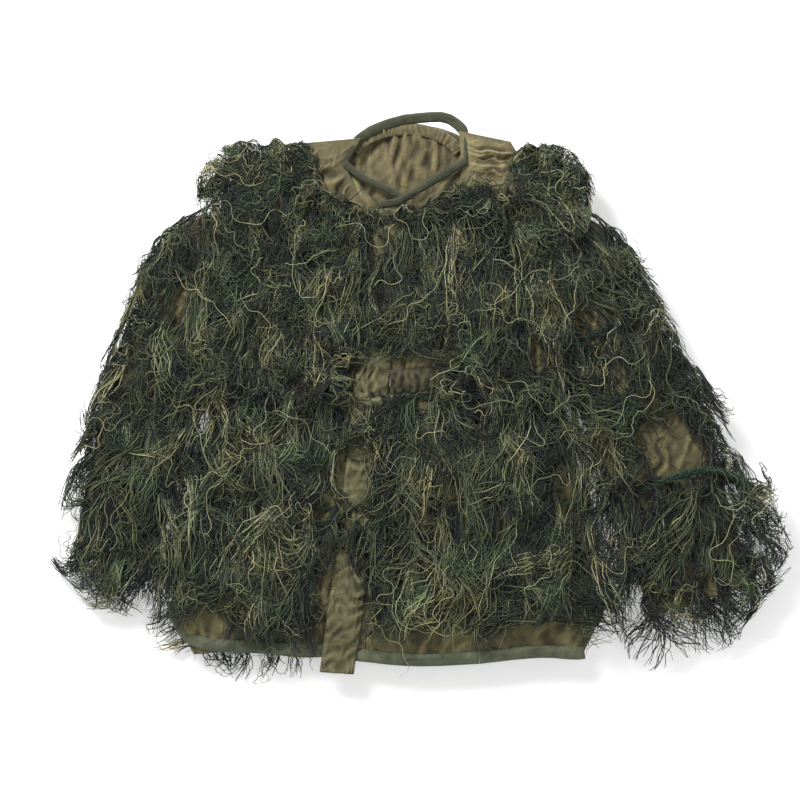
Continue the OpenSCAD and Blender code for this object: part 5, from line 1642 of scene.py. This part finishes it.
class GHILLIE_OT_sleeve_yarn(bpy.types.Operator):
    """Grows the yarn of both sleeves, above and below"""
    bl_idname = "ghillie.sleeve_yarn"
    bl_label = "Sleeve yarn"

    def execute(self, context):
        for side, arm in ARMS.items():
            top = low_high(f"{side}_upper_sleeve")[1][2]
            sign = 1 if side == "left" else -1
            rows = []
            for u in (-0.27, -0.1, 0.14, 0.4, 0.66, 0.9):
                w = 0.98 * (arm.head_half * (1 - max(u, 0)) + arm.elbow_half * max(u, 0))
                w *= 0.8 if u < -0.2 else 1
                a, b = arm.upper(u * arm.upper_len, -w), arm.upper(u * arm.upper_len, w)
                rows.append(row(a, b, arm.upper_dir + 6 * sign, 125 * MM, z=top, fan=26, dense=0.85))
            for v in (-0.92, 0.92):
                a, b = arm.upper(-0.1 * arm.upper_len, v * arm.head_half), arm.upper(arm.upper_len,
                                                                                     v * arm.elbow_half)
                rows.append(row(a, b, arm.upper_dir + (22 if v > 0 else -22), 60 * MM, z=top - 9 * MM,
                                end_z=6 * MM, dense=0.55))
            for u in (0.1, 0.6):
                w = 0.85 * (arm.head_half * (1 - u) + arm.elbow_half * u)
                a, b = arm.upper(u * arm.upper_len, -w), arm.upper(u * arm.upper_len, w)
                rows.append(row(a, b, arm.upper_dir, 120 * MM, z=4 * MM, lift=11 * MM, end_z=3 * MM,
                                plain=True))
            yarn_piece(f"{side}_upper_yarn", f"{side}_upper_arm", rows, 131 if side == "left" else 133,
                       [f"{side}_upper_fringe"], squeeze_arm(arm, "upper", (0, 4 * MM), (-5 * MM, 4 * MM)))

            rows = []
            if side == "left":
                places, inner, outer = (0.0, 0.24, 0.48, 0.72, 0.92), (18 * MM, 30 * MM), (4 * MM, 24 * MM)
                end = arm.fore_len + 66 * MM
            else:
                places, inner, outer = (-0.08, 0.14, 0.38, 0.5, 0.72, 0.9), (32 * MM, 44 * MM), (12 * MM,
                                                                                                 56 * MM)
                end = arm.fore_len + 70 * MM
            for u in places:
                w = arm.elbow_half * (1 - max(u, 0)) + arm.cuff_half * max(u, 0)
                out = 0.0 if side == "left" else (10 * MM if u < 0.3 else 34 * MM)
                near = 19 * MM
                a = arm.fore(u * arm.fore_len, -w - (0 if side == "left" else near))
                b = arm.fore(u * arm.fore_len, w + (near if side == "left" else out))
                last = u > 0.6
                rows.append(row(a, b, arm.fore_dir - (0 if side == "left" else 6),
                                112 * MM if last else 125 * MM,
                                z=top + 1 * MM, fan=26, end_z=9 * MM if last else None, dense=0.8))
            for v in (-0.95, 0.95):
                a, b = arm.fore(0, v * arm.elbow_half), arm.fore(0.9 * arm.fore_len, v * arm.cuff_half)
                rows.append(row(a, b, arm.fore_dir + (20 if v > 0 else -20), 62 * MM, z=top - 9 * MM,
                                end_z=6 * MM, dense=0.5))
            for u in (0.2, 0.7):
                w = 0.85 * arm.cuff_half
                a, b = arm.fore(u * arm.fore_len, -w), arm.fore(u * arm.fore_len, w)
                rows.append(row(a, b, arm.fore_dir, 115 * MM, z=4 * MM, lift=11 * MM, end_z=3 * MM,
                                plain=True))
            yarn_piece(f"{side}_forearm_yarn", f"{side}_lower_arm", rows, 135 if side == "left" else 137,
                       [f"{side}_forearm_fringe"], squeeze_arm(arm, "fore", inner, outer, end), combed=True)
        return {"FINISHED"}


class GHILLIE_OT_back_yarn(bpy.types.Operator):
    """Grows the yarn that lies under the back"""
    bl_idname = "ghillie.back_yarn"
    bl_label = "Back yarn"

    def execute(self, context):
        floor = 4 * MM
        parts = {
            "chest": ((SHOULDER_Y - 30 * MM, CHEST_Y + 20 * MM, CHEST_Y - 50 * MM, CHEST_Y - 120 * MM),
                      30 * MM, 141),
            "waist": ((WAIST_Y + 10 * MM, WAIST_Y - 34 * MM, WAIST_Y - 80 * MM), 8 * MM, 143),
            "skirt": ((SKIRT_ROW_Y, SKIRT_ROW_Y - 44 * MM, SKIRT_ROW_Y - 90 * MM), 6 * MM, 145),
        }
        for part, (ys, inset, seed) in parts.items():
            rows = [row((left_edge(y) + inset, y), (right_edge(y) - inset, y), 270, 110 * MM, z=floor,
                        lift=11 * MM, dense=0.6, plain=True) for y in ys]
            if part == "skirt":
                ends = ((left_edge(HEM_Y) + 4 * MM, HEM_Y + 26 * MM),
                        (placket_x(HEM_Y) - 26 * MM, HEM_Y + 20 * MM))
                rows.append(row(*ends, 262, 56 * MM, z=floor, lift=14 * MM, spread=26, fan=-30, mats=0.5,
                                dense=0.5))
                ends = ((left_edge(HEM_Y + HEM_LIFT) + 10 * MM, HEM_Y + HEM_LIFT),
                        (left_edge(HEM_Y) + 10 * MM, HEM_Y + 24 * MM))
                rows.append(row(*ends, 235, 52 * MM, z=floor, lift=14 * MM, spread=26, mats=0.5, dense=0.8))
            yarn_piece(f"back_{part}_yarn", "torso", rows, seed, [f"back_{part}_fringe"],
                       squeeze_box(-1, 1, HEM_Y - 44 * MM, 1), keep_bare=False)
        return {"FINISHED"}


class GHILLIE_OT_sheets(bpy.types.Operator):
    """Looks up the pieces that are sewn to each sheet of cloth"""
    bl_idname = "ghillie.sheets"
    bl_label = "Cloth facts"

    def execute(self, context):
        for obj, flat, area, names in DECLARED:
            sewn = [bpy.data.objects[n] for n in names]
        return {"FINISHED"}


class GHILLIE_OT_stage(bpy.types.Operator):
    """Sets the pale floor, the soft lights and the camera"""
    bl_idname = "ghillie.stage"
    bl_label = "Stage"

    def execute(self, context):
        deselect()
        bpy.ops.mesh.primitive_plane_add(size=12)
        floor = context.object
        floor.name = "floor"
        mat, _, shader = new_material("Pale floor", 0.9)
        shader.inputs["Base Color"].default_value = (0.93, 0.93, 0.93, 1)
        shader.inputs["Emission Color"].default_value = (1, 1, 1, 1)
        shader.inputs["Emission Strength"].default_value = 0.34
        floor.data.materials.append(mat)
        world = bpy.data.worlds.new("Studio") if context.scene.world is None else context.scene.world
        context.scene.world = world
        world.use_nodes = True
        background = world.node_tree.nodes["Background"]
        background.inputs["Color"].default_value = (1, 1, 1, 1)
        background.inputs["Strength"].default_value = 0.46
        for name, place, size, power in (("Key", (-1.2, 1.7, 1.5), 0.9, 84),
                                         ("Fill", (1.5, -0.6, 2.6), 2.0, 12)):
            light = bpy.data.lights.new(name, "AREA")
            light.size = size
            light.energy = power
            obj = bpy.data.objects.new(name, light)
            context.scene.collection.objects.link(obj)
            obj.location = place
            obj.rotation_euler = (Vector((0, 0, 0)) - Vector(place)).to_track_quat("-Z", "Y").to_euler()
        camera = bpy.data.cameras.new("Camera")
        camera.lens = 85
        camera.sensor_width = 36
        obj = bpy.data.objects.new("Camera", camera)
        context.scene.collection.objects.link(obj)
        middle = (CAD_LOW + CAD_HIGH) / 2
        wide = (CAD_HIGH[0] - CAD_LOW[0]) * 1.0777
        obj.location = (middle.x - 21 * MM, middle.y - 13 * MM,
                        0.05 + wide * camera.lens / camera.sensor_width)
        context.scene.camera = obj
        context.scene.view_settings.view_transform = "Standard"
        context.scene.view_settings.look = "None"
        return {"FINISHED"}


class GHILLIE_PT_panel(bpy.types.Panel):
    """Lists the settings and the pieces of the jacket"""
    bl_idname = "GHILLIE_PT_panel"
    bl_label = "Ghillie jacket"
    bl_space_type = "VIEW_3D"
    bl_region_type = "UI"
    bl_category = "Ghillie"

    def draw(self, context):
        column = self.layout.column()
        for name in ("thickness", "strands", "curls", "wisps", "pitch", "length"):
            column.prop(context.scene.ghillie_yarn, name)
        for name in ("shell_thickness", "binding_width", "stitch_length", "shell_colour", "binding_colour"):
            column.prop(context.scene.ghillie_cloth, name)
        for operator in OPERATORS:
            column.operator(operator.bl_idname)


OPERATORS = (
    GHILLIE_OT_shell, GHILLIE_OT_sleeves, GHILLIE_OT_placket, GHILLIE_OT_waist, GHILLIE_OT_bindings,
    GHILLIE_OT_snaps, GHILLIE_OT_knot_rows, GHILLIE_OT_torso_yarn, GHILLIE_OT_flap_yarn,
    GHILLIE_OT_sleeve_yarn, GHILLIE_OT_back_yarn, GHILLIE_OT_sheets, GHILLIE_OT_stage,
)
CLASSES = (GhillieYarnSettings, GhillieClothSettings, *OPERATORS, GHILLIE_PT_panel)


def register():
    for item in CLASSES:
        bpy.utils.register_class(item)
    bpy.types.Scene.ghillie_yarn = bpy.props.PointerProperty(type=GhillieYarnSettings)
    bpy.types.Scene.ghillie_cloth = bpy.props.PointerProperty(type=GhillieClothSettings)


def unregister():
    del bpy.types.Scene.ghillie_cloth
    del bpy.types.Scene.ghillie_yarn
    for item in reversed(CLASSES):
        bpy.utils.unregister_class(item)


def main():
    register()
    make_materials()
    for operator in OPERATORS:
        call = getattr(bpy.ops.ghillie, operator.bl_idname.split(".")[1])
        call()


if __name__ == "__main__":
    main()
